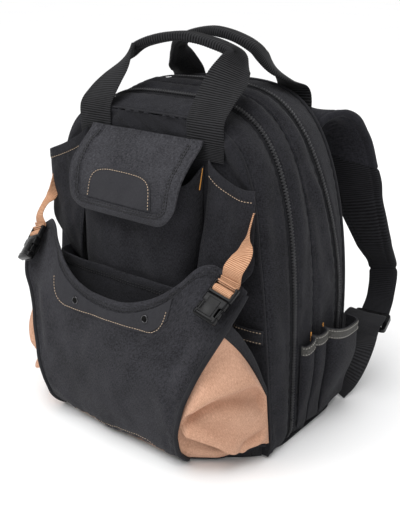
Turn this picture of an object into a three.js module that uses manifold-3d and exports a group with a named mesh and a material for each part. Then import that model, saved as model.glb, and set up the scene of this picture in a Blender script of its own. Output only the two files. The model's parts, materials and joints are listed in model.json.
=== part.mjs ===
// Tool backpack standing on its base: an arched canvas body with two curved zips, a flapped
// centre pocket between two wing pockets, a scooped apron pouch with tan gussets, side tool
// pockets, two webbing handles and padded shoulder straps.
// Millimetres, +Z up. The front faces -Y, and x = 0 is the plane that the bag mirrors across.
// The origin is on the floor under the body. Names ending in _R are at +X, and _L at -X.
import * as THREE from 'three';
import Module from 'manifold-3d';
import { mergeVertices } from 'three/addons/utils/BufferGeometryUtils.js';

const wasm = await Module();
wasm.setup();

// Body
const HALF_WIDTH = 170;         // widest half width, just above the base
const HEIGHT = 384;             // floor to the top of the arch
const FRONT_Y = -105;           // seam between the front panel and the sides
const DEPTH = 166;              // front seam to back edge
const FRONT_CROWN = 5;          // how far the front panel swells forward
const SIDE_CROWN = 3;           // how far a side band swells outward between its seams
const BACK_PAD = 9;             // padded back panel
const BASE_THICKNESS = 3;
const BASE_CORNER = 22;
const FOOT_TUCK = 6;            // how far the sides draw in just above the base
const FOOT_TUCK_HEIGHT = 20;
const ZIP_WIDTH = 11;
const ZIP_PROUD = 1;
const SLIDER_LENGTH = 13;
const SLIDER_DEPTH = 4;
const PULL_LENGTH = 22;
const SLIDER_HEIGHT = 190;

// Cloth and clearances
const CANVAS = 2;
const WEBBING = 1.8;
const GAP = 0.3;
const SEAT = GAP + 0.2;         // where a flat rim meets a faceted, curved wall

// Centre pocket and flap
const POCKET_HALF = 78;
const POCKET_REACH = 34;        // front panel to the pocket's face
const POCKET_FOOT = 112;
const POCKET_RIM = 304;
const POCKET_RIM_RISE = 20;     // the rim climbs this much towards the front panel
const FLAP_HALF = 79;
const FLAP_SEAM = 350;
const FLAP_HEM = 265;
const FLAP_REACH = 50;
const PATCH_HALF = 47;
const PATCH_HEIGHT = 33;

// Pocket row low inside the pouch, and the tool bands beside it
const ROW_HALF = 82;
const ROW_REACH = 42;
const ROW_FOOT = 62;
const ROW_RIM = 199;
const BAND_FOOT = 141;
const BAND_HEIGHT = 22;
const BAND_OUTER = 157;
const BAND_REACH = 9;

// Wing pockets
const WING_INNER = 87;
const WING_OUTER = 149;
const WING_RIM = 332;           // at the inner end of the hem
const WING_CORNER = 311;        // at the outer end of the hem
const WING_FOOT = 168;
const WING_REACH = 24;

// Apron pouch
const POUCH_HEIGHT = 236;       // floor to the two peaks of the scooped edge
const POUCH_HALF = 156;
const POUCH_FOOT = 4;           // floor to the pouch's lower edge
const POUCH_REACH = 91;
const POUCH_PATCH_HALF = 82;
const PATCH_PROUD = 2.1;
const EYELET_X = 50.6;
const EYELET_Z = 164;
const EYELET_HOLE = 3;
const EYELET_RIM = 2.2;
const GUSSET_SWELL = 13;
const BINDING_WIDTH = 15;

// Tan straps and their buckles
const TAN_WIDTH = 25;
const BUCKLE_WIDTH = 33;
const BUCKLE_BODY = 27;         // length of the socket half
const BUCKLE_FRAME = 16;        // length of the slotted half outside the socket
const BUCKLE_DEPTH = 9;
const BUCKLE_WALL = 2.2;
const PRONG_DEPTH = 3.6;
const TAB_WIDTH = 36;
const TAB_THICKNESS = 1.6;

// Side pockets
const SIDE_POCKET_RIM = 140;
const SIDE_POCKET_REACH = 24;
const LOOP_REACH = 11;
const LOOP_RIM = 124;
const SIDE_FOOT = 14;

// Handles
const HANDLE_WEB = 48;
const GRIP_WIDTH = 23;
const GRIP_THICKNESS = 9;
const HANDLE_RISE = 68;         // top of the front grip over the body
const HANDLE_SPREAD = 79;

// Shoulder straps
const STRAP_WIDTH = 66;
const STRAP_PAD = 12;
const STRAP_BOW = 104;          // how far the straps stand off the back edge
const STRAP_SPREAD = 178;       // half distance between the lower ends
const LOWER_WEB = 50;
const ADJUSTER_WIDTH = 46;
const ADJUSTER_LENGTH = 26;
const ADJUSTER_DEPTH = 6;
const ADJUSTER_SLOT = 4.5;      // width of each of its two slots
const ADJUSTER_SLOT_Y = 6.2;    // centre of the adjuster to the middle of a slot

const BACK_Y = FRONT_Y + DEPTH;
const FOOT = BASE_THICKNESS + GAP;

// Arched sections of the body. depth: place at the foot, as a share of DEPTH. lean: shift of the
// arch top, as a share of DEPTH. foot and shoulder: half widths, as shares of HALF_WIDTH.
// top: height, as a share of HEIGHT. square: how square the shoulders are.
const SECTION = {
  frontSeam: { depth: 0, lean: 0, foot: 1.01, shoulder: 0.885, top: 0.963, square: 5 },
  frontZip: { depth: 0.27, lean: 0, foot: 0.978, shoulder: 0.972, top: 0.997, square: 3.8 },
  middleSeam: { depth: 0.51, lean: -0.06, foot: 0.985, shoulder: 0.98, top: 1.014, square: 3.8 },
  rearZip: { depth: 0.86, lean: -0.23, foot: 0.975, shoulder: 0.97, top: 1.02, square: 3.8 },
  backEdge: { depth: 1, lean: -0.085, foot: 0.945, shoulder: 0.94, top: 1.015, square: 3.6 },
};
const LEAN_START = 0.38;        // share of the height below which a section stands upright

const clamp01 = (value) => Math.min(1, Math.max(0, value));
const mix = (a, b, share) => a + (b - a) * share;
const ease = (share) => share * share * (3 - 2 * share);

// A value from a table of rows [key, a, b, ...], smooth between rows.
function lookUp(rows, key, column) {
  const last = rows.length - 1;
  if (key <= rows[0][0]) return rows[0][column];
  if (key >= rows[last][0]) return rows[last][column];
  const next = rows.findIndex((row) => row[0] > key);
  const row = (i) => rows[Math.min(last, Math.max(0, i))];
  const [p0, p1, p2, p3] = [row(next - 2), row(next - 1), row(next), row(next + 1)];
  const t = (key - p1[0]) / (p2[0] - p1[0]);
  const slope = (a, b) => (b[0] === a[0] ? 0 : (b[column] - a[column]) / (b[0] - a[0]));
  const span = p2[0] - p1[0];
  const m1 = slope(p0, p2) * span;
  const m2 = slope(p1, p3) * span;
  const t2 = t * t;
  const t3 = t2 * t;
  return (2 * t3 - 3 * t2 + 1) * p1[column] + (t3 - 2 * t2 + t) * m1
    + (3 * t2 - 2 * t3) * p2[column] + (t3 - t2) * m2;
}

const footTuck = (z) => FOOT_TUCK * clamp01(1 - (z - FOOT) / FOOT_TUCK_HEIGHT) ** 2;

// Half width of a section at a height.
function halfWidthAt(section, z) {
  const s = clamp01(z / (section.top * HEIGHT));
  const taper = mix(section.foot, section.shoulder, clamp01(s / 0.65));
  const arch = Math.pow(Math.max(0, 1 - Math.pow(s, section.square)), 1 / section.square);
  return HALF_WIDTH * taper * arch - footTuck(z);
}

// Place of a section along the depth, at a height.
function depthAt(section, z) {
  const s = clamp01((z / HEIGHT - LEAN_START) / (1 - LEAN_START));
  return FRONT_Y + DEPTH * (section.depth + section.lean * ease(s));
}

// Point of an arched section: turn runs from 0 at the right foot to 1 at the left foot.
function archPoint(section, turn) {
  const top = section.top * HEIGHT;
  const half = section.foot * HALF_WIDTH;
  const start = Math.asin(FOOT / top);
  const angle = mix(start, Math.PI - start, turn);
  const c = Math.abs(Math.cos(angle)) / half;
  const s = Math.sin(angle) / top;
  const reach = Math.pow(Math.pow(c, section.square) + Math.pow(s, section.square), -1 / section.square);
  const z = Math.max(FOOT, reach * Math.sin(angle));
  const taper = mix(section.foot, section.shoulder, clamp01(z / (section.top * HEIGHT) / 0.65));
  const x = reach * Math.cos(angle) * taper / section.foot - Math.sign(Math.cos(angle)) * footTuck(z);
  return new THREE.Vector3(x, depthAt(section, z), z);
}

// Front face of the front panel at a place.
function frontFace(x, z) {
  const across = clamp01(Math.abs(x) / (HALF_WIDTH * 0.98));
  const up = clamp01(z / HEIGHT);
  return FRONT_Y - FRONT_CROWN * (1 - across ** 3) * Math.sin(Math.PI * up) ** 0.7;
}

// Rear face of the back panel's padding at a height.
const backFace = (z) => depthAt(SECTION.backEdge, z) + GAP + BACK_PAD;

// Outer face of the side (+X) between the front zip and the back edge.
function sideFace(y, z) {
  const share = clamp01((y - depthAt(SECTION.frontZip, z))
    / (depthAt(SECTION.rearZip, z) - depthAt(SECTION.frontZip, z)));
  return mix(halfWidthAt(SECTION.frontZip, z), halfWidthAt(SECTION.rearZip, z), share)
    + SIDE_CROWN * Math.sin(Math.PI * share) + ZIP_PROUD;
}

function signedVolume(positions, triangles) {
  const [a, b, c] = [new THREE.Vector3(), new THREE.Vector3(), new THREE.Vector3()];
  let volume = 0;
  for (let i = 0; i < triangles.length; i += 3) {
    a.fromArray(positions, 3 * triangles[i]);
    b.fromArray(positions, 3 * triangles[i + 1]);
    c.fromArray(positions, 3 * triangles[i + 2]);
    volume += a.dot(b.cross(c)) / 6;
  }
  return volume;
}

// Closed wall of cloth over point(s, t), with s and t from 0 to 1. The wall thickens towards inward,
// and thickness is a size or a function of s and t.
function wall(point, { across, along, thickness = CANVAS, inward }) {
  const grid = [];
  for (let i = 0; i <= across; i++) {
    grid.push([]);
    for (let j = 0; j <= along; j++) grid[i].push(point(i / across, j / along));
  }
  const at = (i, j) => grid[Math.min(across, Math.max(0, i))][Math.min(along, Math.max(0, j))];
  const normalAt = (i, j) => {
    const du = at(i + 1, j).clone().sub(at(i - 1, j));
    const dv = at(i, j + 1).clone().sub(at(i, j - 1));
    return du.cross(dv).normalize();
  };
  const middle = normalAt(Math.round(across / 2), Math.round(along / 2));
  const side = middle.dot(inward) < 0 ? -1 : 1;
  const positions = [];
  const rows = along + 1;
  for (const layer of [0, 1]) {
    for (let i = 0; i <= across; i++) {
      for (let j = 0; j <= along; j++) {
        const depth = typeof thickness === 'function' ? thickness(i / across, j / along) : thickness;
        const p = at(i, j).clone().addScaledVector(normalAt(i, j), side * layer * depth);
        positions.push(p.x, p.y, p.z);
      }
    }
  }
  const second = (across + 1) * rows;
  const id = (i, j, layer) => layer * second + i * rows + j;
  const triangles = [];
  const quad = (a, b, c, d) => triangles.push(a, b, c, a, c, d);
  for (let i = 0; i < across; i++) {
    for (let j = 0; j < along; j++) {
      // The diagonals mirror across the middle, so that a mirrored wall has mirrored faces.
      const turned = i < across / 2 ? 1 : 0;
      const outer = [id(i, j, 0), id(i + 1, j, 0), id(i + 1, j + 1, 0), id(i, j + 1, 0)];
      const inner = [id(i, j, 1), id(i, j + 1, 1), id(i + 1, j + 1, 1), id(i + 1, j, 1)];
      quad(...outer.slice(turned), ...outer.slice(0, turned));
      quad(...inner.slice(turned), ...inner.slice(0, turned));
    }
  }
  for (let i = 0; i < across; i++) {
    quad(id(i, 0, 0), id(i, 0, 1), id(i + 1, 0, 1), id(i + 1, 0, 0));
    quad(id(i, along, 0), id(i + 1, along, 0), id(i + 1, along, 1), id(i, along, 1));
  }
  for (let j = 0; j < along; j++) {
    quad(id(0, j, 0), id(0, j + 1, 0), id(0, j + 1, 1), id(0, j, 1));
    quad(id(across, j, 0), id(across, j, 1), id(across, j + 1, 1), id(across, j + 1, 0));
  }
  if (signedVolume(positions, triangles) < 0) triangles.reverse();
  const geometry = new THREE.BufferGeometry();
  geometry.setAttribute('position', new THREE.Float32BufferAttribute(positions, 3));
  geometry.setIndex(triangles);
  return geometry;
}

// Webbing or padding along a route. Each row is { at: [x, y, z], across: [x, y, z], width, thickness }.
function ribbon(rows, { across = 1, along, inward, crown = 0 }) {
  const places = rows.map((row) => new THREE.Vector3(...row.at));
  const centre = new THREE.CatmullRomCurve3(places, false, 'centripetal');
  const column = (name, t) => lookUp(rows.map((row, i) => [i / (rows.length - 1), row[name]]), t, 1);
  const direction = (t) => {
    const axis = (k) => lookUp(rows.map((row, i) => [i / (rows.length - 1), row.across[k]]), t, 1);
    return new THREE.Vector3(axis(0), axis(1), axis(2)).normalize();
  };
  const point = (s, t) => centre.getPoint(t).addScaledVector(direction(t), (s - 0.5) * column('width', t));
  const thickness = (s, t) => column('thickness', t) * (1 - crown * Math.abs(2 * s - 1) ** 3);
  return wall(point, { across, along, thickness, inward });
}

function toManifold(geometry) {
  const bare = new THREE.BufferGeometry();
  bare.setAttribute('position', geometry.getAttribute('position'));
  if (geometry.index) bare.setIndex(geometry.index);
  const merged = mergeVertices(bare, 1e-4);
  return new wasm.Manifold(new wasm.Mesh({
    numProp: 3,
    vertProperties: new Float32Array(merged.getAttribute('position').array),
    triVerts: new Uint32Array(merged.index.array),
  }));
}

function fromManifold(solid) {
  const mesh = solid.getMesh();
  const geometry = new THREE.BufferGeometry();
  geometry.setAttribute('position', new THREE.Float32BufferAttribute(mesh.vertProperties, 3));
  geometry.setIndex(new THREE.BufferAttribute(mesh.triVerts, 1));
  return geometry;
}

const subtract = (geometry, ...cutters) => fromManifold(
  cutters.reduce((solid, cutter) => solid.subtract(toManifold(cutter)), toManifold(geometry)),
);
// Merges a lathe's or an extrusion's seam vertices, so that its body is closed.
const toClosed = (geometry) => fromManifold(toManifold(geometry));
const join = (geometry, ...others) => fromManifold(
  others.reduce((solid, other) => solid.add(toManifold(other)), toManifold(geometry)),
);

// Materials
function finish(color, roughness, metalness = 0) {
  return new THREE.MeshStandardMaterial({ color, roughness, metalness });
}
const BLACK_CANVAS = () => finish(0x24252a, 0.92);
const BLACK_WEBBING = () => finish(0x1b1b1e, 0.85);
const BLACK_BINDING = () => finish(0x18191c, 0.8);
const TAN_CANVAS = () => finish(0xb98562, 0.9);
const TAN_WEBBING = () => finish(0xc08a5e, 0.85);
const BLACK_PLASTIC = () => finish(0x0f1012, 0.35);
const ZIP_TAPE = () => finish(0x141416, 0.6);
const EYELET_METAL = () => finish(0x8a8c90, 0.3, 1);
const ZIP_METAL = () => finish(0x55565a, 0.4, 1);
const STRAP_MESH = () => finish(0x1d1e22, 0.95);

const backpack = new THREE.Group();

function add(name, geometry, material) {
  geometry.computeVertexNormals();
  const mesh = new THREE.Mesh(geometry, material);
  mesh.name = name;
  backpack.add(mesh);
  return mesh;
}

const SIDES = [['L', -1], ['R', 1]];
const BACKWARD = new THREE.Vector3(0, 1, 0);
const DOWNWARD = new THREE.Vector3(0, 0, -1);

// Body panels

function addFrontPanel() {
  const section = SECTION.frontSeam;
  const top = section.top * HEIGHT;
  const point = (s, t) => {
    const z = mix(FOOT, top - 2, Math.sin(t * Math.PI / 2) ** 1.15);
    const x = (2 * s - 1) * halfWidthAt(section, z);
    return new THREE.Vector3(x, frontFace(x, z), z);
  };
  add('front_panel', wall(point, { across: 10, along: 10, inward: BACKWARD }), BLACK_CANVAS());
}

const ARCH_STEPS = 22;

// A band round the arch between two sections. start and end: its edges at a height, as shares of
// the way between them.
function band(from, to, { start, end, crown, across }) {
  const point = (s, t) => {
    const share = (z) => mix(start(z), end(z), s);
    const a = archPoint(from, t);
    const b = archPoint(to, t);
    const p = a.clone().lerp(b, share((a.z + b.z) / 2));
    const out = new THREE.Vector3(p.x / HALF_WIDTH, 0, p.z / HEIGHT - 0.35).normalize();
    out.z = Math.max(0, out.z);
    p.addScaledVector(out, crown * Math.sin(Math.PI * s));
    p.z = Math.max(FOOT, p.z);
    return p;
  };
  return wall(point, { across, along: ARCH_STEPS, inward: DOWNWARD });
}

function addBands() {
  const { frontSeam, frontZip, middleSeam, rearZip, backEdge } = SECTION;
  const spanAt = (from, to, z) => depthAt(to, z) - depthAt(from, z);
  const zipEdge = ZIP_WIDTH / 2;
  const bands = [
    // Columns: name, from, to, start and end in mm from the two sections, crown, faces across.
    ['front_gusset', frontSeam, frontZip, CANVAS + GAP, zipEdge + GAP, SIDE_CROWN, 3],
    ['mid_gusset_front', frontZip, middleSeam, zipEdge + GAP, GAP / 2, SIDE_CROWN, 2],
    ['mid_gusset_rear', middleSeam, rearZip, GAP / 2, zipEdge + GAP, SIDE_CROWN, 3],
    ['rear_gusset', rearZip, backEdge, zipEdge + GAP, 0, 1, 2],
  ];
  for (const [name, from, to, after, before, crown, across] of bands) {
    add(name, band(from, to, {
      start: (z) => after / spanAt(from, to, z),
      end: (z) => 1 - before / spanAt(from, to, z),
      crown,
      across,
    }), BLACK_CANVAS());
  }
  for (const [name, before, middle, after] of [
    ['front_zip', frontSeam, frontZip, middleSeam],
    ['rear_zip', middleSeam, rearZip, backEdge],
  ]) {
    const point = (s, t) => {
      const p = archPoint(middle, t);
      const q = archPoint(s < 0.5 ? before : after, t);
      const shift = Math.abs(2 * s - 1) * zipEdge;
      const step = q.clone().sub(p);
      p.addScaledVector(step, shift / Math.max(1, Math.abs(step.y)));
      const out = new THREE.Vector3(p.x / HALF_WIDTH, 0, Math.max(0, p.z / HEIGHT - 0.35)).normalize();
      p.addScaledVector(out, ZIP_PROUD * (1 - Math.abs(2 * s - 1)));
      p.z = Math.max(FOOT, p.z);
      return p;
    };
    add(name, wall(point, { across: 2, along: ARCH_STEPS, inward: DOWNWARD }), ZIP_TAPE());
  }
}

function addBackPanel() {
  const section = SECTION.backEdge;
  const top = section.top * HEIGHT;
  const point = (s, t) => {
    const z = mix(FOOT, top - 3, Math.sin(t * Math.PI / 2) ** 1.15);
    const x = (2 * s - 1) * halfWidthAt(section, z);
    return new THREE.Vector3(x, depthAt(section, z) + GAP, z);
  };
  const inside = (share) => ease(clamp01(8 * share * (1 - share)));
  const thickness = (s, t) => mix(CANVAS, BACK_PAD, inside(s) * inside(t));
  add('back_panel', wall(point, { across: 8, along: 8, thickness, inward: BACKWARD }), STRAP_MESH());
}

function addBase() {
  const front = halfWidthAt(SECTION.frontSeam, FOOT);
  const back = halfWidthAt(SECTION.backEdge, FOOT);
  const shape = new THREE.Shape();
  shape.moveTo(-front + BASE_CORNER / 2, FRONT_Y);
  shape.lineTo(front - BASE_CORNER / 2, FRONT_Y);
  shape.quadraticCurveTo(front, FRONT_Y, front, FRONT_Y + BASE_CORNER / 2);
  shape.lineTo(back, BACK_Y - BASE_CORNER);
  shape.quadraticCurveTo(back, BACK_Y, back - BASE_CORNER, BACK_Y);
  shape.lineTo(-back + BASE_CORNER, BACK_Y);
  shape.quadraticCurveTo(-back, BACK_Y, -back, BACK_Y - BASE_CORNER);
  shape.lineTo(-front, FRONT_Y + BASE_CORNER / 2);
  shape.quadraticCurveTo(-front, FRONT_Y, -front + BASE_CORNER / 2, FRONT_Y);
  const options = { depth: BASE_THICKNESS, bevelEnabled: false, curveSegments: 4 };
  add('base', new THREE.ExtrudeGeometry(shape, options), BLACK_CANVAS());
}

// Front pockets

// Depth of a gusseted pocket across its width: square-shouldered, zero at both seams.
const gusseted = (s, square = 6) => Math.pow(Math.max(0, 1 - Math.abs(2 * s - 1) ** square), 1 / square);

// Shares across a gusseted pocket, close together at its two corners.
const cornerShare = (s) => 0.5 - 0.5 * Math.cos(Math.PI * s);

// An open-topped pocket standing off the front panel, gathered back to it at the foot.
function frontPocket({ half, reach, foot, rim, rise = 0, gather = 0.12, across, along }) {
  const point = (s, t) => {
    const share = cornerShare(s);
    const out = gusseted(share);
    const depth = (reach - CANVAS) * out * mix(0.08, 1, ease(clamp01(t / gather)));
    const x = (2 * share - 1) * half;
    const z = mix(foot, rim + rise * (1 - out), t);
    return new THREE.Vector3(x, frontFace(x, z) - SEAT - CANVAS - depth, z);
  };
  return wall(point, { across, along, inward: BACKWARD });
}

function addFrontPockets() {
  add('centre_pocket', frontPocket({
    half: POCKET_HALF,
    reach: POCKET_REACH,
    foot: POCKET_FOOT,
    rim: POCKET_RIM,
    rise: POCKET_RIM_RISE,
    across: 10,
    along: 7,
  }), BLACK_CANVAS());
  add('inner_pocket_row', frontPocket({
    half: ROW_HALF,
    reach: ROW_REACH,
    foot: ROW_FOOT,
    rim: ROW_RIM,
    across: 10,
    along: 5,
  }), BLACK_CANVAS());
}

// Flap rows, from its seam to its hem. down: share of the flap's height. out: share of FLAP_REACH.
// half: share of FLAP_HALF.
const FLAP_ROWS = [
  [0.0, 0.038, 1.0],
  [0.06, 0.1, 1.0],
  [0.18, 0.34, 1.0],
  [0.3, 0.57, 1.0],
  [0.42, 0.76, 1.0],
  [0.54, 0.87, 0.985],
  [0.66, 0.93, 0.945],
  [0.78, 0.97, 0.88],
  [0.9, 1.0, 0.81],
  [1.0, 0.97, 0.72],
];

function flapPoint(s, t, proud = 0) {
  const half = FLAP_HALF * lookUp(FLAP_ROWS, t, 2);
  const x = (2 * s - 1) * half;
  const z = mix(FLAP_SEAM, FLAP_HEM, t);
  const droop = 3 * Math.abs(2 * s - 1) ** 4 * ease(t);
  const y = FRONT_Y - FRONT_CROWN - FLAP_REACH * lookUp(FLAP_ROWS, t, 1) + droop - proud;
  return new THREE.Vector3(x, y, z);
}

function addFlap() {
  add('flap', wall((s, t) => flapPoint(s, t), { across: 8, along: 9, inward: BACKWARD }), BLACK_CANVAS());
  // The patch keeps its half-oval top and follows the flap's face.
  const patchFoot = 0.84;
  const patchTop = patchFoot - PATCH_HEIGHT / (FLAP_SEAM - FLAP_HEM);
  const point = (s, t) => {
    const row = mix(patchFoot, patchTop, t);
    const half = PATCH_HALF * Math.sqrt(1 - (t * 0.86) ** 3);
    const share = 0.5 + (s - 0.5) * half / (FLAP_HALF * lookUp(FLAP_ROWS, row, 2));
    return flapPoint(share, row, GAP + 1);
  };
  add('flap_patch', wall(point, { across: 6, along: 5, thickness: 1, inward: BACKWARD }), BLACK_CANVAS());
}

// Wing pocket rows, from its foot to its hem. Columns: share of the way up, then how far the inner
// edge, the middle and the outer edge stand out as shares of WING_REACH, then the outer edge's
// place as a share of the wing's width.
const WING_ROWS = [
  [0.0, 0.0, 0.0, 0.0, 0.3],
  [0.1, 0.9, 0.7, 0.3, 0.38],
  [0.24, 1.0, 0.8, 0.42, 0.68],
  [0.41, 0.8, 0.72, 0.5, 1.0],
  [0.6, 0.45, 0.6, 0.48, 1.0],
  [0.82, 0.22, 0.5, 0.5, 1.0],
  [1.0, 0.2, 0.42, 0.5, 1.0],
];

function wingPoint(s, t) {
  const [inner, middle, outer, width] = [1, 2, 3, 4].map((column) => lookUp(WING_ROWS, t, column));
  const x = mix(WING_INNER, mix(WING_INNER, WING_OUTER, width), s);
  const dip = 5 * Math.sin(Math.PI * s) ** 0.8;
  const rim = mix(WING_RIM, WING_CORNER, s ** 0.7) - dip;
  const z = mix(WING_FOOT, rim, t);
  const out = (1 - s) ** 2 * inner + 2 * s * (1 - s) * (2 * middle - (inner + outer) / 2) + s ** 2 * outer;
  const depth = (WING_REACH - CANVAS) * Math.max(0, out);
  return new THREE.Vector3(x, frontFace(x, z) - SEAT - CANVAS - depth, z);
}

function addWings() {
  for (const [name, side] of SIDES) {
    const point = (s, t) => {
      const p = wingPoint(s, t);
      return p.setX(side * p.x);
    };
    add(`wing_pocket_${name}`, wall(point, { across: 6, along: 7, inward: BACKWARD }), BLACK_CANVAS());
  }
}

// Apron pouch rows. up: share of POUCH_HEIGHT. half: edge's half width, as a share of POUCH_HALF.
// edge, middle: reach at the edge and at the centre line, as shares of POUCH_REACH.
const POUCH_ROWS = [
  [0.02, 0.69, 0.68, 0.71],
  [0.064, 0.71, 0.73, 0.78],
  [0.127, 0.7, 0.82, 0.87],
  [0.212, 0.68, 0.92, 0.945],
  [0.3, 0.7, 0.955, 0.985],
  [0.38, 0.725, 0.935, 0.995],
  [0.466, 0.77, 0.89, 0.985],
  [0.55, 0.815, 0.82, 0.955],
  [0.636, 0.875, 0.76, 0.9],
  [0.72, 0.94, 0.72, 0.845],
  [0.805, 0.985, 0.6, 0.8],
  [0.9, 1.0, 0.36, 0.74],
  [1.0, 1.0, 0.22, 0.68],
];

// The scooped edge. side: share of the half width. up: share of POUCH_HEIGHT.
const SCOOP_ROWS = [
  [0.0, 0.75],
  [0.15, 0.757],
  [0.3, 0.785],
  [0.45, 0.835],
  [0.58, 0.905],
  [0.68, 0.98],
  [0.77, 1.0],
  [0.87, 0.965],
  [1.0, 0.9],
];

function pouchPoint(s, z) {
  const up = z / POUCH_HEIGHT;
  const side = 2 * s - 1;
  const x = side * POUCH_HALF * lookUp(POUCH_ROWS, up, 1);
  const reach = mix(lookUp(POUCH_ROWS, up, 3), lookUp(POUCH_ROWS, up, 2), Math.abs(side) ** 3);
  return new THREE.Vector3(x, FRONT_Y - POUCH_REACH * reach, z);
}

const scoopHeight = (s) => POUCH_HEIGHT * lookUp(SCOOP_ROWS, Math.abs(2 * s - 1), 1);

function addPouch() {
  const point = (s, t) => pouchPoint(s, mix(POUCH_FOOT, scoopHeight(s), t));
  const hole = (side) => {
    const cutter = new THREE.CylinderGeometry(EYELET_HOLE, EYELET_HOLE, 30, 12);
    return cutter.translate(side * EYELET_X, pouchPoint(0.5, EYELET_Z).y, EYELET_Z);
  };
  const panel = wall(point, { across: 16, along: 11, inward: BACKWARD });
  add('pouch_front', subtract(panel, hole(-1), hole(1)), BLACK_CANVAS());

  const patchDrop = 42;
  const patchPoint = (s, t) => {
    const share = 0.5 + (s - 0.5) * POUCH_PATCH_HALF / POUCH_HALF * 1.12;
    const drop = mix(patchDrop, 8, t) - 14 * Math.abs(2 * s - 1) ** 4 * (1 - t);
    const p = pouchPoint(share, scoopHeight(share) - drop);
    return p.setY(p.y - PATCH_PROUD);
  };
  const patch = wall(patchPoint, { across: 8, along: 3, thickness: 0.8, inward: BACKWARD });
  add('pouch_patch', subtract(patch, hole(-1), hole(1)), BLACK_CANVAS());

  for (const [name, side] of SIDES) {
    const ring = new THREE.LatheGeometry([
      new THREE.Vector2(EYELET_HOLE, 0),
      new THREE.Vector2(EYELET_HOLE + EYELET_RIM, 0),
      new THREE.Vector2(EYELET_HOLE + EYELET_RIM * 0.6, 1.2),
      new THREE.Vector2(EYELET_HOLE, 0),
    ], 12);
    const share = EYELET_X / (POUCH_HALF * lookUp(POUCH_ROWS, EYELET_Z / POUCH_HEIGHT, 1));
    const { centre, x, y, out } = pouchFrame(share, EYELET_Z, 0);
    // The ring's axis is its own y, so y of its frame points out of the pouch.
    const frame = new THREE.Matrix4().makeBasis(y, out, x);
    frame.setPosition(centre.addScaledVector(out, PATCH_PROUD + SEAT));
    if (side < 0) frame.premultiply(new THREE.Matrix4().makeScale(-1, 1, 1));
    add(`eyelet_${name}`, placed(ring, frame), EYELET_METAL());
  }
}

// Tan gusset rows, from the floor up. up: share of GUSSET_HEIGHT. swell: outward swell as a share
// of GUSSET_SWELL. fold: how deep the crease across the gusset lies, as a share of the swell.
const GUSSET_HEIGHT = 156;      // at the pouch's edge
const GUSSET_BACK_HEIGHT = 80;  // at the body's seam
const GUSSET_ROWS = [
  [0.0, 0.15, 0.0],
  [0.12, 0.7, 0.5],
  [0.26, 1.0, 0.25],
  [0.42, 0.9, 0.75],
  [0.6, 0.8, 0.2],
  [0.8, 0.45, 0.1],
  [1.0, 0.1, 0.0],
];

// s runs from the pouch's edge to the body's seam, t from the floor to the bound top edge.
function gussetPoint(s, t, lift = 0) {
  const frontZ = mix(POUCH_FOOT, GUSSET_HEIGHT, t) + lift;
  const front = pouchPoint(1, frontZ);
  front.x -= 1.5;
  front.y += CANVAS + SEAT + 0.5;
  const backZ = mix(FOOT, GUSSET_BACK_HEIGHT, t) + lift;
  const backX = halfWidthAt(SECTION.frontSeam, backZ) - 2;
  const back = new THREE.Vector3(backX, frontFace(backX, backZ) - SEAT - 0.5, backZ);
  const p = front.clone().lerp(back, s);
  const out = new THREE.Vector3(back.y - front.y, -(back.x - front.x), 0).normalize();
  const swell = GUSSET_SWELL * lookUp(GUSSET_ROWS, t, 1) * Math.sin(Math.PI * s) ** 0.8;
  const ripple = 0.5 * Math.sin(3 * Math.PI * (t + 0.35 * s));
  const crease = GUSSET_SWELL * lookUp(GUSSET_ROWS, t, 2) * Math.sin(Math.PI * s) * ripple;
  return p.addScaledVector(out, swell + crease);
}

function addGussets() {
  for (const [name, side] of SIDES) {
    const inward = new THREE.Vector3(-side, 0.4, 0);
    const place = (p) => p.setX(side * p.x);
    const point = (s, t) => place(gussetPoint(s, t));
    add(`pouch_gusset_${name}`, wall(point, { across: 7, along: 8, thickness: 1.6, inward }), TAN_CANVAS());
    const strip = (s, t) => {
      const p = gussetPoint(t, 1, mix(GAP, BINDING_WIDTH, s));
      return place(p);
    };
    const binding = wall(strip, { across: 1, along: 7, thickness: 2.4, inward });
    add(`gusset_binding_${name}`, binding, BLACK_BINDING());
  }
  const floor = (s, t) => {
    const side = 2 * s - 1;
    const rim = pouchPoint(0.5 + side * 0.49, POUCH_FOOT);
    const y = mix(FRONT_Y - GAP, rim.y + CANVAS + SEAT, t);
    return new THREE.Vector3(mix(rim.x * 1.35, rim.x, t) * 0.97, y, 2);
  };
  add('pouch_floor', wall(floor, { across: 6, along: 2, thickness: 1.6, inward: DOWNWARD }), TAN_CANVAS());
}

// Tool bands across the front panel, beside the pocket row
function addToolBands() {
  for (const [name, side] of SIDES) {
    const point = (s, t) => {
      const x = side * mix(ROW_HALF + 3, BAND_OUTER, s);
      const z = mix(BAND_FOOT, BAND_FOOT + BAND_HEIGHT, t);
      const out = BAND_REACH * Math.abs(Math.sin(2 * Math.PI * s)) ** 0.7;
      return new THREE.Vector3(x, frontFace(x, z) - SEAT - CANVAS - out, z);
    };
    add(`tool_band_${name}`, wall(point, { across: 12, along: 1, inward: BACKWARD }), BLACK_CANVAS());
  }
}

// Tan straps: routes on the right side, from the anchor under the wing's outer corner to the buckle.
// x: share of WING_OUTER. out: share of POUCH_REACH. up: share of POUCH_HEIGHT. turn: how far the
// webbing's width has turned from its anchor to the buckle.
const TAN_ROUTE = [
  [1.02, 0.12, 1.24, 0],
  [1.03, 0.22, 1.19, 0.1],
  [1.035, 0.36, 1.11, 0.4],
  [1.02, 0.47, 1.03, 0.8],
];
const TAN_ANCHOR_ACROSS = new THREE.Vector3(0.15, 0.9, 0.1);
const BUCKLE_ACROSS = 0.86;     // share of the pouch's half width
const BUCKLE_UP = 0.873;        // share of POUCH_HEIGHT
const BUCKLE_LEAN = THREE.MathUtils.degToRad(36);
const BUCKLE_LIFT = 3.4;        // air between the tab and the buckle's back, at its middle

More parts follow.
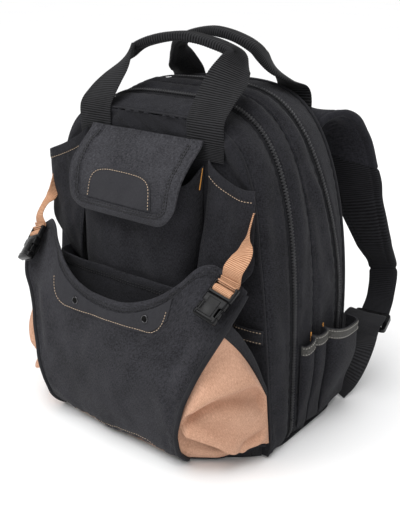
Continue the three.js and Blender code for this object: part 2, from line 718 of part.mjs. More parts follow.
// Frame of the buckle on the right: x across it, y up along the strap, z out of its face. It lies
// on the pouch's surface, leaning along the strap.
function pouchFrame(across, z, lean) {
  const share = 0.5 + across / 2;
  const right = pouchPoint(share + 0.01, z).sub(pouchPoint(share - 0.01, z)).normalize();
  const up = pouchPoint(share, z + 2).sub(pouchPoint(share, z - 2));
  up.addScaledVector(right, -up.dot(right)).normalize();
  const out = right.clone().cross(up);
  const y = up.clone().multiplyScalar(Math.cos(lean)).addScaledVector(right, Math.sin(lean));
  return { centre: pouchPoint(share, z), x: y.clone().cross(out), y, out };
}

function buckleFrame(side) {
  const { centre, x, y, out } = pouchFrame(BUCKLE_ACROSS, BUCKLE_UP * POUCH_HEIGHT, BUCKLE_LEAN);
  const frame = new THREE.Matrix4().makeBasis(x, y, out);
  frame.setPosition(centre.addScaledVector(out, BUCKLE_LIFT + TAB_THICKNESS + 2 * GAP + BUCKLE_DEPTH / 2));
  if (side < 0) frame.premultiply(new THREE.Matrix4().makeScale(-1, 1, 1));
  return frame;
}

// Turns a geometry through a frame, and keeps its faces outward if the frame mirrors it.
function placed(geometry, frame) {
  const closed = toClosed(geometry);
  closed.applyMatrix4(frame);
  if (frame.determinant() < 0) closed.setIndex(Array.from(closed.index.array).reverse());
  return closed;
}

function roundedBar(width, length, corner) {
  const shape = new THREE.Shape();
  const [w, h] = [width / 2, length / 2];
  shape.moveTo(-w + corner, -h);
  shape.lineTo(w - corner, -h);
  shape.quadraticCurveTo(w, -h, w, -h + corner);
  shape.lineTo(w, h - corner);
  shape.quadraticCurveTo(w, h, w - corner, h);
  shape.lineTo(-w + corner, h);
  shape.quadraticCurveTo(-w, h, -w, h - corner);
  shape.lineTo(-w, -h + corner);
  shape.quadraticCurveTo(-w, -h, -w + corner, -h);
  return shape;
}

// A flat plate centred on the plane z = 0.
function plate(shape, depth) {
  const geometry = new THREE.ExtrudeGeometry(shape, { depth, bevelEnabled: false, curveSegments: 2 });
  return geometry.translate(0, 0, -depth / 2);
}

function addBuckles() {
  const total = BUCKLE_BODY + BUCKLE_FRAME;
  const bodyY = -total / 2 + BUCKLE_BODY / 2;
  const frameY = total / 2 - BUCKLE_FRAME / 2;
  const cavity = BUCKLE_WIDTH - 2 * BUCKLE_WALL;
  for (const [name, side] of SIDES) {
    const frame = buckleFrame(side);
    const shell = plate(roundedBar(BUCKLE_WIDTH, BUCKLE_BODY, 5), BUCKLE_DEPTH);
    shell.translate(0, bodyY, 0);
    const room = plate(roundedBar(cavity, BUCKLE_BODY, 1), PRONG_DEPTH + 2 * GAP);
    room.translate(0, bodyY + BUCKLE_WALL * 2, 0);
    const windows = [-1, 1].map((end) => {
      const window = plate(roundedBar(6, BUCKLE_BODY * 0.42, 2), BUCKLE_DEPTH * 2);
      return window.translate(end * BUCKLE_WIDTH * 0.46, bodyY, 0);
    });
    add(`buckle_socket_${name}`, placed(subtract(shell, room, ...windows), frame), BLACK_PLASTIC());

    const bar = plate(roundedBar(BUCKLE_WIDTH, BUCKLE_FRAME, 3.5), BUCKLE_DEPTH * 0.7);
    bar.translate(0, frameY + GAP, 0);
    const slot = plate(roundedBar(TAN_WIDTH + 1, BUCKLE_FRAME * 0.5, 1), BUCKLE_DEPTH * 2);
    slot.translate(0, frameY + 1, 0);
    const prongs = [-1, 0, 1].map((place) => {
      const prong = plate(roundedBar(4, BUCKLE_BODY * 0.72, 1), PRONG_DEPTH);
      return prong.translate(place * (cavity / 2 - 3), frameY - BUCKLE_FRAME / 2 - BUCKLE_BODY * 0.28, 0);
    });
    add(`buckle_clip_${name}`, placed(join(subtract(bar, slot), ...prongs), frame), BLACK_PLASTIC());

    const across = new THREE.Vector3().setFromMatrixColumn(frame, 0).normalize();
    const lift = new THREE.Vector3().setFromMatrixColumn(frame, 2).normalize();
    const top = new THREE.Vector3(0, total / 2 + 1.2, 0).applyMatrix4(frame);
    const anchor = TAN_ANCHOR_ACROSS.clone().setX(side * TAN_ANCHOR_ACROSS.x);
    const rows = TAN_ROUTE.map(([x, out, up, turn]) => ({
      at: [side * x * WING_OUTER, FRONT_Y - out * POUCH_REACH, up * POUCH_HEIGHT],
      across: anchor.clone().lerp(across, turn).toArray(),
      width: TAN_WIDTH,
      thickness: WEBBING,
    }));
    rows.push({ at: top.toArray(), across: across.toArray(), width: TAN_WIDTH, thickness: WEBBING });
    const inward = lift.clone().negate();
    add(`tan_strap_${name}`, ribbon(rows, { across: 2, along: 14, inward }), TAN_WEBBING());

    // The tab behind the buckle hugs the pouch's surface.
    const tab = (s, t) => {
      const [u, v] = [(s - 0.5) * TAB_WIDTH, mix(-total / 2 - 3, total / 2 + 4, t)];
      const dx = u * Math.cos(BUCKLE_LEAN) + v * Math.sin(BUCKLE_LEAN);
      const z = BUCKLE_UP * POUCH_HEIGHT - u * Math.sin(BUCKLE_LEAN) + v * Math.cos(BUCKLE_LEAN);
      const place = pouchFrame(BUCKLE_ACROSS + dx * 0.72 / POUCH_HALF, z, 0);
      const p = place.centre.addScaledVector(place.out, TAB_THICKNESS + SEAT + 0.2);
      return p.setX(side * p.x);
    };
    const piece = wall(tab, { across: 5, along: 5, thickness: TAB_THICKNESS, inward });
    add(`buckle_tab_${name}`, piece, BLACK_WEBBING());
  }
}

// Side tool pockets, on both sides between the front zip and the back edge. start and end: shares
// of the body's depth. rim and back: heights of the rim's front and back ends. across: faces.
const SIDE_POCKETS = [
  {
    name: 'side_loop_front',
    start: 0.33,
    end: 0.435,
    reach: LOOP_REACH,
    rim: LOOP_RIM - 3,
    back: LOOP_RIM + 4,
    across: 6,
  },
  {
    name: 'side_loop_rear',
    start: 0.445,
    end: 0.58,
    reach: LOOP_REACH * 1.15,
    rim: LOOP_RIM + 4,
    back: LOOP_RIM + 6,
    across: 6,
  },
  {
    name: 'side_pocket',
    start: 0.605,
    end: 0.985,
    reach: SIDE_POCKET_REACH,
    rim: SIDE_POCKET_RIM - 12,
    back: SIDE_POCKET_RIM - 20,
    across: 10,
  },
];

function addSidePockets() {
  for (const pocket of SIDE_POCKETS) {
    for (const [name, side] of SIDES) {
      const point = (s, t) => {
        const share = cornerShare(s);
        const y = FRONT_Y + DEPTH * mix(pocket.start, pocket.end, share);
        const z = mix(SIDE_FOOT, mix(pocket.rim, pocket.back, share), t);
        const depth = (pocket.reach - CANVAS) * gusseted(share, 3) * mix(0.1, 1, ease(clamp01(t / 0.7)));
        return new THREE.Vector3(side * (sideFace(y, z) + CANVAS + depth), y, z);
      };
      const inward = new THREE.Vector3(-side, 0, 0);
      const piece = wall(point, { across: pocket.across, along: 5, inward });
      add(`${pocket.name}_${name}`, piece, BLACK_CANVAS());
    }
  }
}

// Handles. Each row is half of a mirrored handle, from its sewn end to the middle of its grip.
// x: share of HANDLE_SPREAD. y: millimetres from the handle's own seam, as a share of DEPTH.
// up: share of HANDLE_RISE over HEIGHT. grip: 0 flat webbing, 1 folded into the grip.
// face: direction of the webbing's width, as an angle from +X towards +Y in degrees.
const FRONT_HANDLE = [
  // x, y, up, grip, face
  [1.0, 0.0, -0.8, 0, 0],
  [1.0, 0.0, -0.56, 0, 0],
  [1.0, 0.0, -0.2, 0, 0],
  [0.99, 0.09, 0.04, 0, 6],
  [0.97, 0.24, 0.3, 0.1, 24],
  [0.93, 0.34, 0.56, 0.6, 60],
  [0.85, 0.38, 0.7, 1, 85],
  [0.45, 0.39, 0.88, 1, 88],
  [0.0, 0.39, 0.93, 1, 90],
];
const REAR_HANDLE = [
  [1.0, 0.0, -0.94, 0, 0],
  [1.0, 0.0, -0.5, 0, 0],
  [0.99, 0.0, -0.02, 0, -4],
  [0.93, -0.06, 0.15, 0.1, -30],
  [0.85, -0.17, 0.33, 0.4, -58],
  [0.78, -0.26, 0.56, 0.9, -82],
  [0.7, -0.28, 0.7, 1, -86],
  [0.4, -0.3, 0.89, 1, -88],
  [0.0, -0.3, 0.98, 1, -90],
];

// seat(z) is the face that the handle's sewn ends lie on, and out is -1 at the front, 1 at the back.
function addHandle(name, table, seat, out) {
  const seam = HEIGHT * SECTION.frontSeam.top;
  const half = table.map(([x, y, up, grip, face]) => {
    const z = HEIGHT + up * HANDLE_RISE;
    const place = seat(Math.min(z, seam)) + out * (SEAT + WEBBING) + y * DEPTH;
    return { x: x * HANDLE_SPREAD, y: place, z, grip, turn: THREE.MathUtils.degToRad(face) };
  });
  const row = ({ x, y, z, grip, turn }, side) => ({
    at: [side * x, y, z],
    across: [side * Math.cos(turn), Math.sin(turn), 0],
    width: mix(HANDLE_WEB, GRIP_WIDTH, grip),
    thickness: mix(WEBBING, GRIP_THICKNESS, grip),
  });
  const middle = half[half.length - 1];
  const rows = [
    ...half.slice(0, -1).map((r) => row(r, 1)),
    { ...row(middle, 1), across: [0, Math.sign(middle.turn), 0] },
    ...half.slice(0, -1).reverse().map((r) => row(r, -1)),
  ];
  add(name, ribbon(rows, { across: 2, along: 30, inward: DOWNWARD }), BLACK_WEBBING());
}

function addHandles() {
  const inner = HANDLE_SPREAD - HANDLE_WEB / 2;
  addHandle('handle_front', FRONT_HANDLE, (z) => frontFace(inner, z), -1);
  addHandle('handle_rear', REAR_HANDLE, backFace, 1);
}

// Shoulder straps, on the right side. x: share of STRAP_SPREAD. back: share of STRAP_BOW behind the
// back edge. up: share of HEIGHT. width and pad: shares of STRAP_WIDTH and STRAP_PAD.
const STRAP_ROUTE = [
  [0.44, 0.075, 0.76, 1.0, 0.5],
  [0.455, 0.106, 0.855, 1.0, 0.8],
  [0.51, 0.15, 0.905, 1.0, 1.0],
  [0.6, 0.34, 0.885, 1.0, 1.0],
  [0.66, 0.5, 0.83, 1.0, 1.0],
  [0.73, 0.585, 0.73, 1.0, 1.0],
  [0.775, 0.63, 0.635, 0.95, 1.0],
  [0.87, 0.87, 0.47, 0.8, 1.0],
  [0.905, 0.985, 0.385, 0.7, 1.0],
  [0.935, 0.85, 0.3, 0.6, 0.6],
  [0.977, 0.6, 0.262, 0.58, 0.35],
];

// Lower webbing, from the bottom corner of the body to the adjuster. Columns as above, then the
// direction of its width.
const LOWER_ROUTE = [
  [0.83, 0.047, 0.012, [1, 0, 0]],
  [0.87, 0.15, 0.064, [0.95, 0.3, 0.03]],
  [0.938, 0.27, 0.165, [0.8, 0.58, 0.1]],
  [0.955, 0.255, 0.224, [0.95, 0.26, 0.03]],
  [0.966, 0.32, 0.263, [0.97, 0.16, 0]],
  [0.977, 0.433, 0.275, [0.98, 0.14, 0]],
];

const strapPlace = (x, back, up, side) => new THREE.Vector3(
  side * x * STRAP_SPREAD, BACK_Y + back * STRAP_BOW, up * HEIGHT,
);

function addShoulderStraps() {
  for (const [name, side] of SIDES) {
    const rows = STRAP_ROUTE.map(([x, back, up, width, pad]) => ({
      at: strapPlace(x, back, up, side).toArray(),
      across: [1, 0.1 * side, 0],
      width: width * STRAP_WIDTH,
      thickness: pad * STRAP_PAD,
    }));
    const strap = ribbon(rows, { across: 4, along: 20, inward: BACKWARD, crown: 0.55 });
    add(`shoulder_strap_${name}`, strap, STRAP_MESH());

    // The adjuster carries on from the strap's lower end.
    const [last, end] = STRAP_ROUTE.slice(-2).map(([x, back, up]) => strapPlace(x, back, up, side));
    const across = new THREE.Vector3(1, 0.1 * side, 0).normalize();
    const run = end.clone().sub(last);
    run.addScaledVector(across, -run.dot(across)).normalize();
    const out = across.clone().cross(run);
    const frame = new THREE.Matrix4().makeBasis(across, run, out);
    frame.setPosition(end.clone().addScaledVector(run, ADJUSTER_LENGTH / 2 + 1));
    const bar = plate(roundedBar(ADJUSTER_WIDTH, ADJUSTER_LENGTH, 4), ADJUSTER_DEPTH);
    const slots = [-1, 1].map((place) => {
      const slot = plate(roundedBar(ADJUSTER_WIDTH - 9, ADJUSTER_SLOT, 1), ADJUSTER_DEPTH * 2);
      return slot.translate(0, place * ADJUSTER_SLOT_Y, 0);
    });
    add(`adjuster_${name}`, placed(subtract(bar, ...slots), frame), BLACK_PLASTIC());

    // The webbing folds over in front of the adjuster and ends in its upper slot.
    const row = (at, direction, width) => ({
      at: at.toArray(),
      across: [direction[0], direction[1] * side, direction[2] * side],
      width,
      thickness: WEBBING,
    });
    const web = LOWER_ROUTE.map(([x, back, up, direction]) => (
      row(strapPlace(x, back, up, side), direction, LOWER_WEB)
    ));
    const slotMouth = new THREE.Vector3(0, -ADJUSTER_SLOT_Y, -(ADJUSTER_DEPTH / 2 + GAP + WEBBING * 0.6));
    web.push(row(slotMouth.applyMatrix4(frame), [1, 0.1, 0], ADJUSTER_WIDTH - 10));
    const inward = new THREE.Vector3(0, 1, -0.4);
    add(`lower_webbing_${name}`, ribbon(web, { across: 2, along: 12, inward }), BLACK_WEBBING());
  }
}

// One plain slider for each zip, on the left side where the tapes start.
function addZipSliders() {
  const zips = [['front', SECTION.frontZip], ['rear', SECTION.rearZip]];
  for (const [name, section] of zips) {
    const body = plate(roundedBar(ZIP_WIDTH * 0.7, SLIDER_LENGTH, 2), SLIDER_DEPTH);
    const pull = plate(roundedBar(ZIP_WIDTH * 0.5, PULL_LENGTH, 2), SLIDER_DEPTH * 0.4);
    pull.translate(0, -PULL_LENGTH * 0.55, SLIDER_DEPTH * 0.2);
    const x = -(halfWidthAt(section, SLIDER_HEIGHT) + ZIP_PROUD + SLIDER_DEPTH / 2 + SEAT);
    const frame = new THREE.Matrix4().makeBasis(
      new THREE.Vector3(0, -1, 0),
      new THREE.Vector3(0, 0, 1),
      new THREE.Vector3(-1, 0, 0),
    );
    frame.setPosition(x, depthAt(section, SLIDER_HEIGHT), SLIDER_HEIGHT);
    add(`zip_slider_${name}`, placed(join(body, pull), frame), ZIP_METAL());
  }
}

addFrontPanel();
addBands();
addBackPanel();
addBase();
addFrontPockets();
addFlap();
addWings();
addPouch();
addGussets();
addToolBands();
addBuckles();
addSidePockets();
addHandles();
addShoulderStraps();
addZipSliders();

export default backpack;
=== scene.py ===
"""The tool backpack's looks: its cloth, webbing, zips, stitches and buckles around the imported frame.

Shapes are worked out in millimetres in the frame's axes (front at -Y, +Z up) and made in metres.
"""
import json
import math

import bpy
import numpy as np
from mathutils import Matrix, Vector

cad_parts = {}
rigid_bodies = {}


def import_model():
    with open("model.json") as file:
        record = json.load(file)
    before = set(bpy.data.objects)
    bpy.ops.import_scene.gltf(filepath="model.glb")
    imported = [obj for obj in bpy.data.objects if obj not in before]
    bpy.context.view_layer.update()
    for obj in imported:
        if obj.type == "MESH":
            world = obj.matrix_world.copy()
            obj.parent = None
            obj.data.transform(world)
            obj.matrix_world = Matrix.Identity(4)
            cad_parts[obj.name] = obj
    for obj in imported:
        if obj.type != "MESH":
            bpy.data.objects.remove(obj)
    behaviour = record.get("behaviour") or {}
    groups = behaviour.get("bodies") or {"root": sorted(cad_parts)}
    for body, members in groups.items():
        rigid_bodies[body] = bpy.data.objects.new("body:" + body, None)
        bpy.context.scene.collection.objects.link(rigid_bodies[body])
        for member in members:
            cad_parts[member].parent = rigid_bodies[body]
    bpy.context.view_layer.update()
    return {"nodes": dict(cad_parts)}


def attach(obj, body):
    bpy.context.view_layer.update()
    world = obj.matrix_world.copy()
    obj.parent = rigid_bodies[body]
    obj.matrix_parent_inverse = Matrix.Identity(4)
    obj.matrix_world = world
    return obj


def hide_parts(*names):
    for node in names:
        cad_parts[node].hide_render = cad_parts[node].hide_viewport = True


for startup_object in list(bpy.data.objects):
    bpy.data.objects.remove(startup_object)
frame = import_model()

MM = 0.001

# Body sizes
HALF_WIDTH = 170
HEIGHT = 384
FRONT_Y = -105
DEPTH = 166
BACK_Y = FRONT_Y + DEPTH
FRONT_CROWN = 5
SIDE_CROWN = 3
BACK_PAD = 9
FOOT = 3.3
FOOT_TUCK = 6
FOOT_TUCK_HEIGHT = 20
ZIP_WIDTH = 11
CANVAS = 2
WEBBING = 1.8
SEAT = 0.5
TAN_WIDTH = 23.5
SIDES = (("L", -1), ("R", 1))

# The share of a cloth's full number of grid divisions that is made
FINENESS = 0.72

# Arched sections: depth at the foot, lean of the top, foot, shoulder, top, squareness.
SECTIONS = {
    "front_seam": (0, 0, 1.01, 0.885, 0.963, 5),
    "front_zip": (0.27, 0, 0.978, 0.972, 0.997, 3.8),
    "middle_seam": (0.51, -0.06, 0.985, 0.98, 1.014, 3.8),
    "rear_zip": (0.86, -0.23, 0.975, 0.97, 1.02, 3.8),
    "back_edge": (1, -0.085, 0.945, 0.94, 1.015, 3.6),
}


def mix(a, b, share):
    return a + (b - a) * share


def ease(share):
    share = np.clip(share, 0, 1)
    return share * share * (3 - 2 * share)


def read_table(rows, key, column):
    """A smooth value from rows (key, a, b, ...), with numpy arrays of keys."""
    rows = np.asarray(rows, float)
    x, y = rows[:, 0], rows[:, column]
    slope = np.empty(len(x))
    slope[1:-1] = (y[2:] - y[:-2]) / (x[2:] - x[:-2])
    slope[0] = (y[1] - y[0]) / (x[1] - x[0])
    slope[-1] = (y[-1] - y[-2]) / (x[-1] - x[-2])
    key = np.clip(key, x[0], x[-1])
    i = np.clip(np.searchsorted(x, key, "right") - 1, 0, len(x) - 2)
    span = x[i + 1] - x[i]
    u = (key - x[i]) / span
    return (
        (2 * u**3 - 3 * u**2 + 1) * y[i] + (u**3 - 2 * u**2 + u) * slope[i] * span
        + (3 * u**2 - 2 * u**3) * y[i + 1] + (u**3 - u**2) * slope[i + 1] * span
    )


def stack(x, y, z):
    return np.stack(np.broadcast_arrays(x, y, z), -1).astype(float)


def unit(v):
    return v / np.maximum(np.linalg.norm(v, axis=-1, keepdims=True), 1e-9)


def steps_along(points):
    return np.linalg.norm(np.diff(points, axis=0), axis=1)


def reach_along(points):
    """How far along the line through points each of them lies."""
    return np.concatenate([[0], np.cumsum(steps_along(points))])


def foot_tuck(z):
    return FOOT_TUCK * np.clip(1 - (z - FOOT) / FOOT_TUCK_HEIGHT, 0, 1) ** 2


def half_width_at(name, z):
    """Half the width of an arched section at height z."""
    _, _, foot, shoulder, top, square = SECTIONS[name]
    s = np.clip(z / (top * HEIGHT), 0, 1)
    taper = mix(foot, shoulder, np.clip(s / 0.65, 0, 1))
    return HALF_WIDTH * taper * np.maximum(0, 1 - s**square) ** (1 / square) - foot_tuck(z)


def depth_at(name, z):
    """The y of an arched section at height z, with its top leaning forward."""
    depth, lean = SECTIONS[name][:2]
    return FRONT_Y + DEPTH * (depth + lean * ease((z / HEIGHT - 0.38) / 0.62))


def arch_point(name, turn):
    """A point of an arched section at a share of the way over it, from the right foot to the left."""
    _, _, foot, shoulder, top, square = SECTIONS[name]
    half, height = foot * HALF_WIDTH, top * HEIGHT
    start = math.asin(FOOT / height)
    angle = mix(start, math.pi - start, turn)
    reach = ((np.abs(np.cos(angle)) / half) ** square + (np.sin(angle) / height) ** square) ** (-1 / square)
    z = np.maximum(FOOT, reach * np.sin(angle))
    taper = mix(foot, shoulder, np.clip(z / height / 0.65, 0, 1)) / foot
    x = reach * np.cos(angle) * taper - np.sign(np.cos(angle)) * foot_tuck(z)
    return stack(x, depth_at(name, z), z)


def front_face(x, z):
    """The y of the body's slightly crowned front."""
    across = np.clip(np.abs(x) / (HALF_WIDTH * 0.98), 0, 1)
    up = np.clip(z / HEIGHT, 0.0001, 0.9999)
    return FRONT_Y - FRONT_CROWN * (1 - across**3) * np.sin(np.pi * up) ** 0.7


def back_face(z):
    return depth_at("back_edge", z) + 0.3 + BACK_PAD


def side_face(y, z):
    """How far the body's side stands from its middle."""
    front, rear = depth_at("front_zip", z), depth_at("rear_zip", z)
    share = np.clip((y - front) / (rear - front), 0, 1)
    width = mix(half_width_at("front_zip", z), half_width_at("rear_zip", z), share)
    return width + SIDE_CROWN * np.sin(np.pi * share) + 1


# Cloth relief


def undulate(p, size, seed=0):
    """Slow smooth waves over a cloth, from -1 to 1, about size across."""
    rng = np.random.default_rng(seed)
    total = 0
    warp = np.sin(p[..., [1, 2, 0]] * (2 * np.pi / (size * 2.3)) + seed) * size * 0.25
    for _ in range(5):
        direction = unit(rng.normal(size=3))
        wave = size * rng.uniform(0.8, 1.6)
        total = total + np.sin(((p + warp) @ direction) * 2 * np.pi / wave + rng.uniform(0, 6.3))
    return total / 3.2


def creases(p, rows):
    """Folds along straight lines: each row is start, end, width and height in millimetres."""
    total = np.zeros(p.shape[:-1])
    for start, end, width, height in rows:
        a, b = np.array(start, float), np.array(end, float)
        along = ((p - a) @ (b - a)) / ((b - a) @ (b - a))
        off = np.linalg.norm(p - (a + np.clip(along, 0, 1)[..., None] * (b - a)), axis=-1)
        fade = ease((along + 0.25) / 0.4) * ease((1.25 - along) / 0.4)
        total += height * np.exp(-((off / width) ** 2)) * fade
    return total


def puckers(edge, along, pitch=11.0, reach=9.0, height=0.5):
    """Small gathers that a seam pulls into the cloth beside it."""
    phase = along * 2 * np.pi / pitch + 1.3 * np.sin(along / 31.0) + 0.8 * np.sin(along / 17.0 + 1)
    return height * np.sin(phase) * np.exp(-np.maximum(edge, 0) / reach) * ease(edge / 2)


def stitch_groove(edge, place, depth=0.6, width=1.1):
    """The dent that a row of stitches draws into the cloth, at a distance from its edge."""
    return -depth * np.exp(-(((edge - place) / width) ** 2))


# Modelling


def select_only(obj):
    """Makes one object the only selected and the active one."""
    bpy.ops.object.select_all(action="DESELECT")
    obj.select_set(True)
    bpy.context.view_layer.objects.active = obj


def apply_all(obj):
    """Applies an object's modifiers in their order."""
    select_only(obj)
    for modifier in list(obj.modifiers):
        bpy.ops.object.modifier_apply(modifier=modifier.name)


def add_shape(add, **settings):
    """Adds a primitive mesh with nothing else selected."""
    bpy.ops.object.select_all(action="DESELECT")
    add(**settings)
    return bpy.context.object


def new_grid(columns, rows):
    """A grid, with the shares across and along it of each of its points."""
    obj = add_shape(bpy.ops.mesh.primitive_grid_add, x_subdivisions=columns, y_subdivisions=rows, size=1)
    co = np.empty(len(obj.data.vertices) * 3)
    obj.data.vertices.foreach_get("co", co)
    co = co.reshape(-1, 3)
    return obj, np.clip(co[:, 0] + 0.5, 0, 1), np.clip(co[:, 1] + 0.5, 0, 1)


def place_points(mesh, places, width, length):
    """Moves a grid's points to their places and gives its UV map the cloth's real size."""
    mesh.vertices.foreach_set("co", (places * MM).ravel())
    uv = np.empty(len(mesh.loops) * 2)
    mesh.uv_layers[0].data.foreach_get("uv", uv)
    uv = uv.reshape(-1, 2) * [width * MM, length * MM]
    mesh.uv_layers[0].data.foreach_set("uv", uv.ravel())
    mesh.update()


def finish_piece(obj, name, material, replaces=()):
    obj.name = name
    obj.data.name = name
    select_only(obj)
    bpy.ops.object.transform_apply(location=True, rotation=True, scale=True)
    bpy.ops.object.shade_smooth()
    obj.data.materials.clear()
    obj.data.materials.append(material)
    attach(obj, "root")
    if replaces:
        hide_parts(*replaces)
    return obj


class Skin:
    """A cloth's outer face: point(s, t) lifted along its normal by relief(s, t, p)."""

    def __init__(self, point, outward, relief=None):
        self.point = point
        self.outward = np.array(outward, float)
        self.relief = relief

    def normal(self, s, t):
        step = 0.004
        ds = self.point(np.minimum(s + step, 1), t) - self.point(np.maximum(s - step, 0), t)
        dt = self.point(s, np.minimum(t + step, 1)) - self.point(s, np.maximum(t - step, 0))
        n = unit(np.cross(ds, dt))
        self.sign = 1 if np.sum(n @ self.outward) > 0 else -1
        return n * self.sign

    def at(self, s, t, lift=0.0):
        p = self.point(s, t)
        n = self.normal(s, t)
        if self.relief is not None:
            lift = lift + self.relief(s, t, p)
        return p + n * np.broadcast_to(lift, p.shape[:-1])[..., None]


def cloth(name, skin, across, along, thickness, material, replaces=(), rim=0.5):
    """A walled sheet over a skin, with its rim rounded."""
    obj, s, t = new_grid(round(across * FINENESS), round(along * FINENESS))
    places = skin.at(s, t)
    line, middle = np.linspace(0, 1, 60), np.full(60, 0.5)
    width = steps_along(skin.point(line, middle)).sum()
    length = steps_along(skin.point(middle, line)).sum()
    place_points(obj.data, places, width, length)
    if skin.sign < 0:
        select_only(obj)
        bpy.ops.object.mode_set(mode="EDIT")
        bpy.ops.mesh.select_all(action="SELECT")
        bpy.ops.mesh.flip_normals()
        bpy.ops.object.mode_set(mode="OBJECT")
    wall = obj.modifiers.new("wall", "SOLIDIFY")
    wall.thickness = thickness * MM
    wall.offset = -1
    if rim:
        bevel = obj.modifiers.new("rim", "BEVEL")
        bevel.width = rim * MM
        bevel.segments = 2
        bevel.limit_method = "ANGLE"
        bevel.angle_limit = math.radians(62)
    apply_all(obj)
    return finish_piece(obj, name, material, replaces)


def catmull(points, t):
    """Points along a centripetal curve through points, at shares t."""
    points = np.asarray(points, float)
    last = len(points) - 1
    padded = np.vstack([2 * points[0] - points[1], points, 2 * points[-1] - points[-2]])
    place = np.clip(t, 0, 1) * last
    i = np.minimum(place.astype(int), last - 1)
    w = (place - i)[:, None]
    p0, p1, p2, p3 = (padded[i + k] for k in range(4))
    spans = ((p0, p1), (p1, p2), (p2, p3))
    d = [np.maximum(np.linalg.norm(b - a, axis=1, keepdims=True) ** 0.5, 1e-4) for a, b in spans]
    m1 = ((p1 - p0) / d[0] - (p2 - p0) / (d[0] + d[1]) + (p2 - p1) / d[1]) * d[1]
    m2 = ((p2 - p1) / d[1] - (p3 - p1) / (d[1] + d[2]) + (p3 - p2) / d[2]) * d[1]
    start = (2 * w**3 - 3 * w**2 + 1) * p1 + (w**3 - 2 * w**2 + w) * m1
    return start + (3 * w**2 - 2 * w**3) * p2 + (w**3 - w**2) * m2


class Route:
    """Webbing along rows of (place, direction of the width, width, thickness)."""

    def __init__(self, rows, inward):
        self.places = np.array([r[0] for r in rows], float)
        share = np.linspace(0, 1, len(rows))
        self.rows = np.array([[u, *unit(np.array(r[1], float)), r[2], r[3]] for u, r in zip(share, rows)])
        self.length = steps_along(self.centre(np.linspace(0, 1, 400))).sum()
        run = self.centre(np.array([0.502])) - self.centre(np.array([0.498]))
        facing = np.cross(self.across(np.array([0.5])), run)[0] @ np.array(inward, float)
        self.sign = 1 if facing > 0 else -1

    def centre(self, t):
        return catmull(self.places, t)

    def across(self, t):
        return stack(*(read_table(self.rows, t, k) for k in (1, 2, 3)))

    def frame(self, t):
        """The directions along the route, across it and inwards."""
        step = 0.002
        run = unit(self.centre(np.minimum(t + step, 1)) - self.centre(np.maximum(t - step, 0)))
        across = self.across(t)
        across = unit(across - run * np.sum(across * run, -1, keepdims=True))
        return run, across, np.cross(across, run) * self.sign

    def surface(self, angle, t, square):
        """Point of the closed strap: angle round it, t along it, from its outer face inwards."""
        _, across, inward = self.frame(t)
        width = read_table(self.rows, t, 4)[:, None]
        thick = read_table(self.rows, t, 5)[:, None]
        c, s = np.cos(angle)[:, None], np.sin(angle)[:, None]
        u = np.sign(c) * np.abs(c) ** square * width / 2
        v = np.sign(s) * np.abs(s) ** (square * 1.25) * thick / 2
        return self.centre(t) + across * u + inward * (thick / 2 - v)


def strap(name, route, around, along, material, relief=None, replaces=(), square=0.45):
    """A closed band of webbing or padding along a route, with lifted ribs."""
    obj, s, t = new_grid(around, along)
    angle = 2 * np.pi * np.mod(s, 1.0)
    p = route.surface(angle, t, square)
    if relief is not None:
        middle = route.centre(t) + route.frame(t)[2] * (read_table(route.rows, t, 5)[:, None] / 2)
        across = route.frame(t)[1]
        off = p - middle
        off = off - across * np.sum(off * across, -1, keepdims=True) * 0.85
        p = p + unit(off) * relief(angle, t, p)[:, None]
    place_points(obj.data, p, route.rows[:, 4].mean() * 2, route.length)
    select_only(obj)
    bpy.ops.object.mode_set(mode="EDIT")
    bpy.ops.mesh.select_all(action="SELECT")
    bpy.ops.mesh.remove_doubles(threshold=0.00002)
    bpy.ops.mesh.select_all(action="DESELECT")
    bpy.ops.mesh.select_non_manifold()
    bpy.ops.mesh.fill_holes(sides=0)
    bpy.ops.mesh.select_all(action="SELECT")
    bpy.ops.mesh.normals_make_consistent(inside=False)
    bpy.ops.object.mode_set(mode="OBJECT")
    return finish_piece(obj, name, material, replaces)


def cord_tube(name, points, radius, material):
    """Piping: a round cord along points."""
    curve = bpy.data.curves.new(name, "CURVE")
    curve.dimensions = "3D"
    curve.bevel_depth = radius * MM
    curve.bevel_resolution = 3
    curve.use_fill_caps = True
    spline = curve.splines.new("POLY")
    spline.points.add(len(points) - 1)
    for place, p in zip(spline.points, points):
        place.co = (*(np.array(p) * MM), 1)
    obj = bpy.data.objects.new(name, curve)
    bpy.context.collection.objects.link(obj)
    select_only(obj)
    bpy.ops.object.convert(target="MESH")
    obj = bpy.context.object
    return finish_piece(obj, name, material)


def rounded_block(size, at=(0, 0, 0), radius=1.0, segments=3):
    """A moulded block with soft edges, in millimetres in its own frame."""
    obj = add_shape(bpy.ops.mesh.primitive_cube_add, size=1, location=[c * MM for c in at])
    obj.scale = [c * MM for c in size]
    bpy.ops.object.transform_apply(location=True, rotation=False, scale=True)
    soften(obj, radius, segments)
    return obj


def soften(obj, radius, segments=3):
    """Rounds the edges of a moulded piece."""
    bevel = obj.modifiers.new("edges", "BEVEL")
    bevel.width = radius * MM
    bevel.segments = segments
    bevel.limit_method = "ANGLE"
    bevel.angle_limit = math.radians(40)
    apply_all(obj)


def cut_away(obj, *tools):
    """Cuts blocks out of a moulded piece and removes them."""
    for tool in tools:
        hole = obj.modifiers.new("opening", "BOOLEAN")
        hole.operation = "DIFFERENCE"
        hole.solver = "EXACT"
        hole.object = tool
        apply_all(obj)
        bpy.data.objects.remove(tool)
    return obj


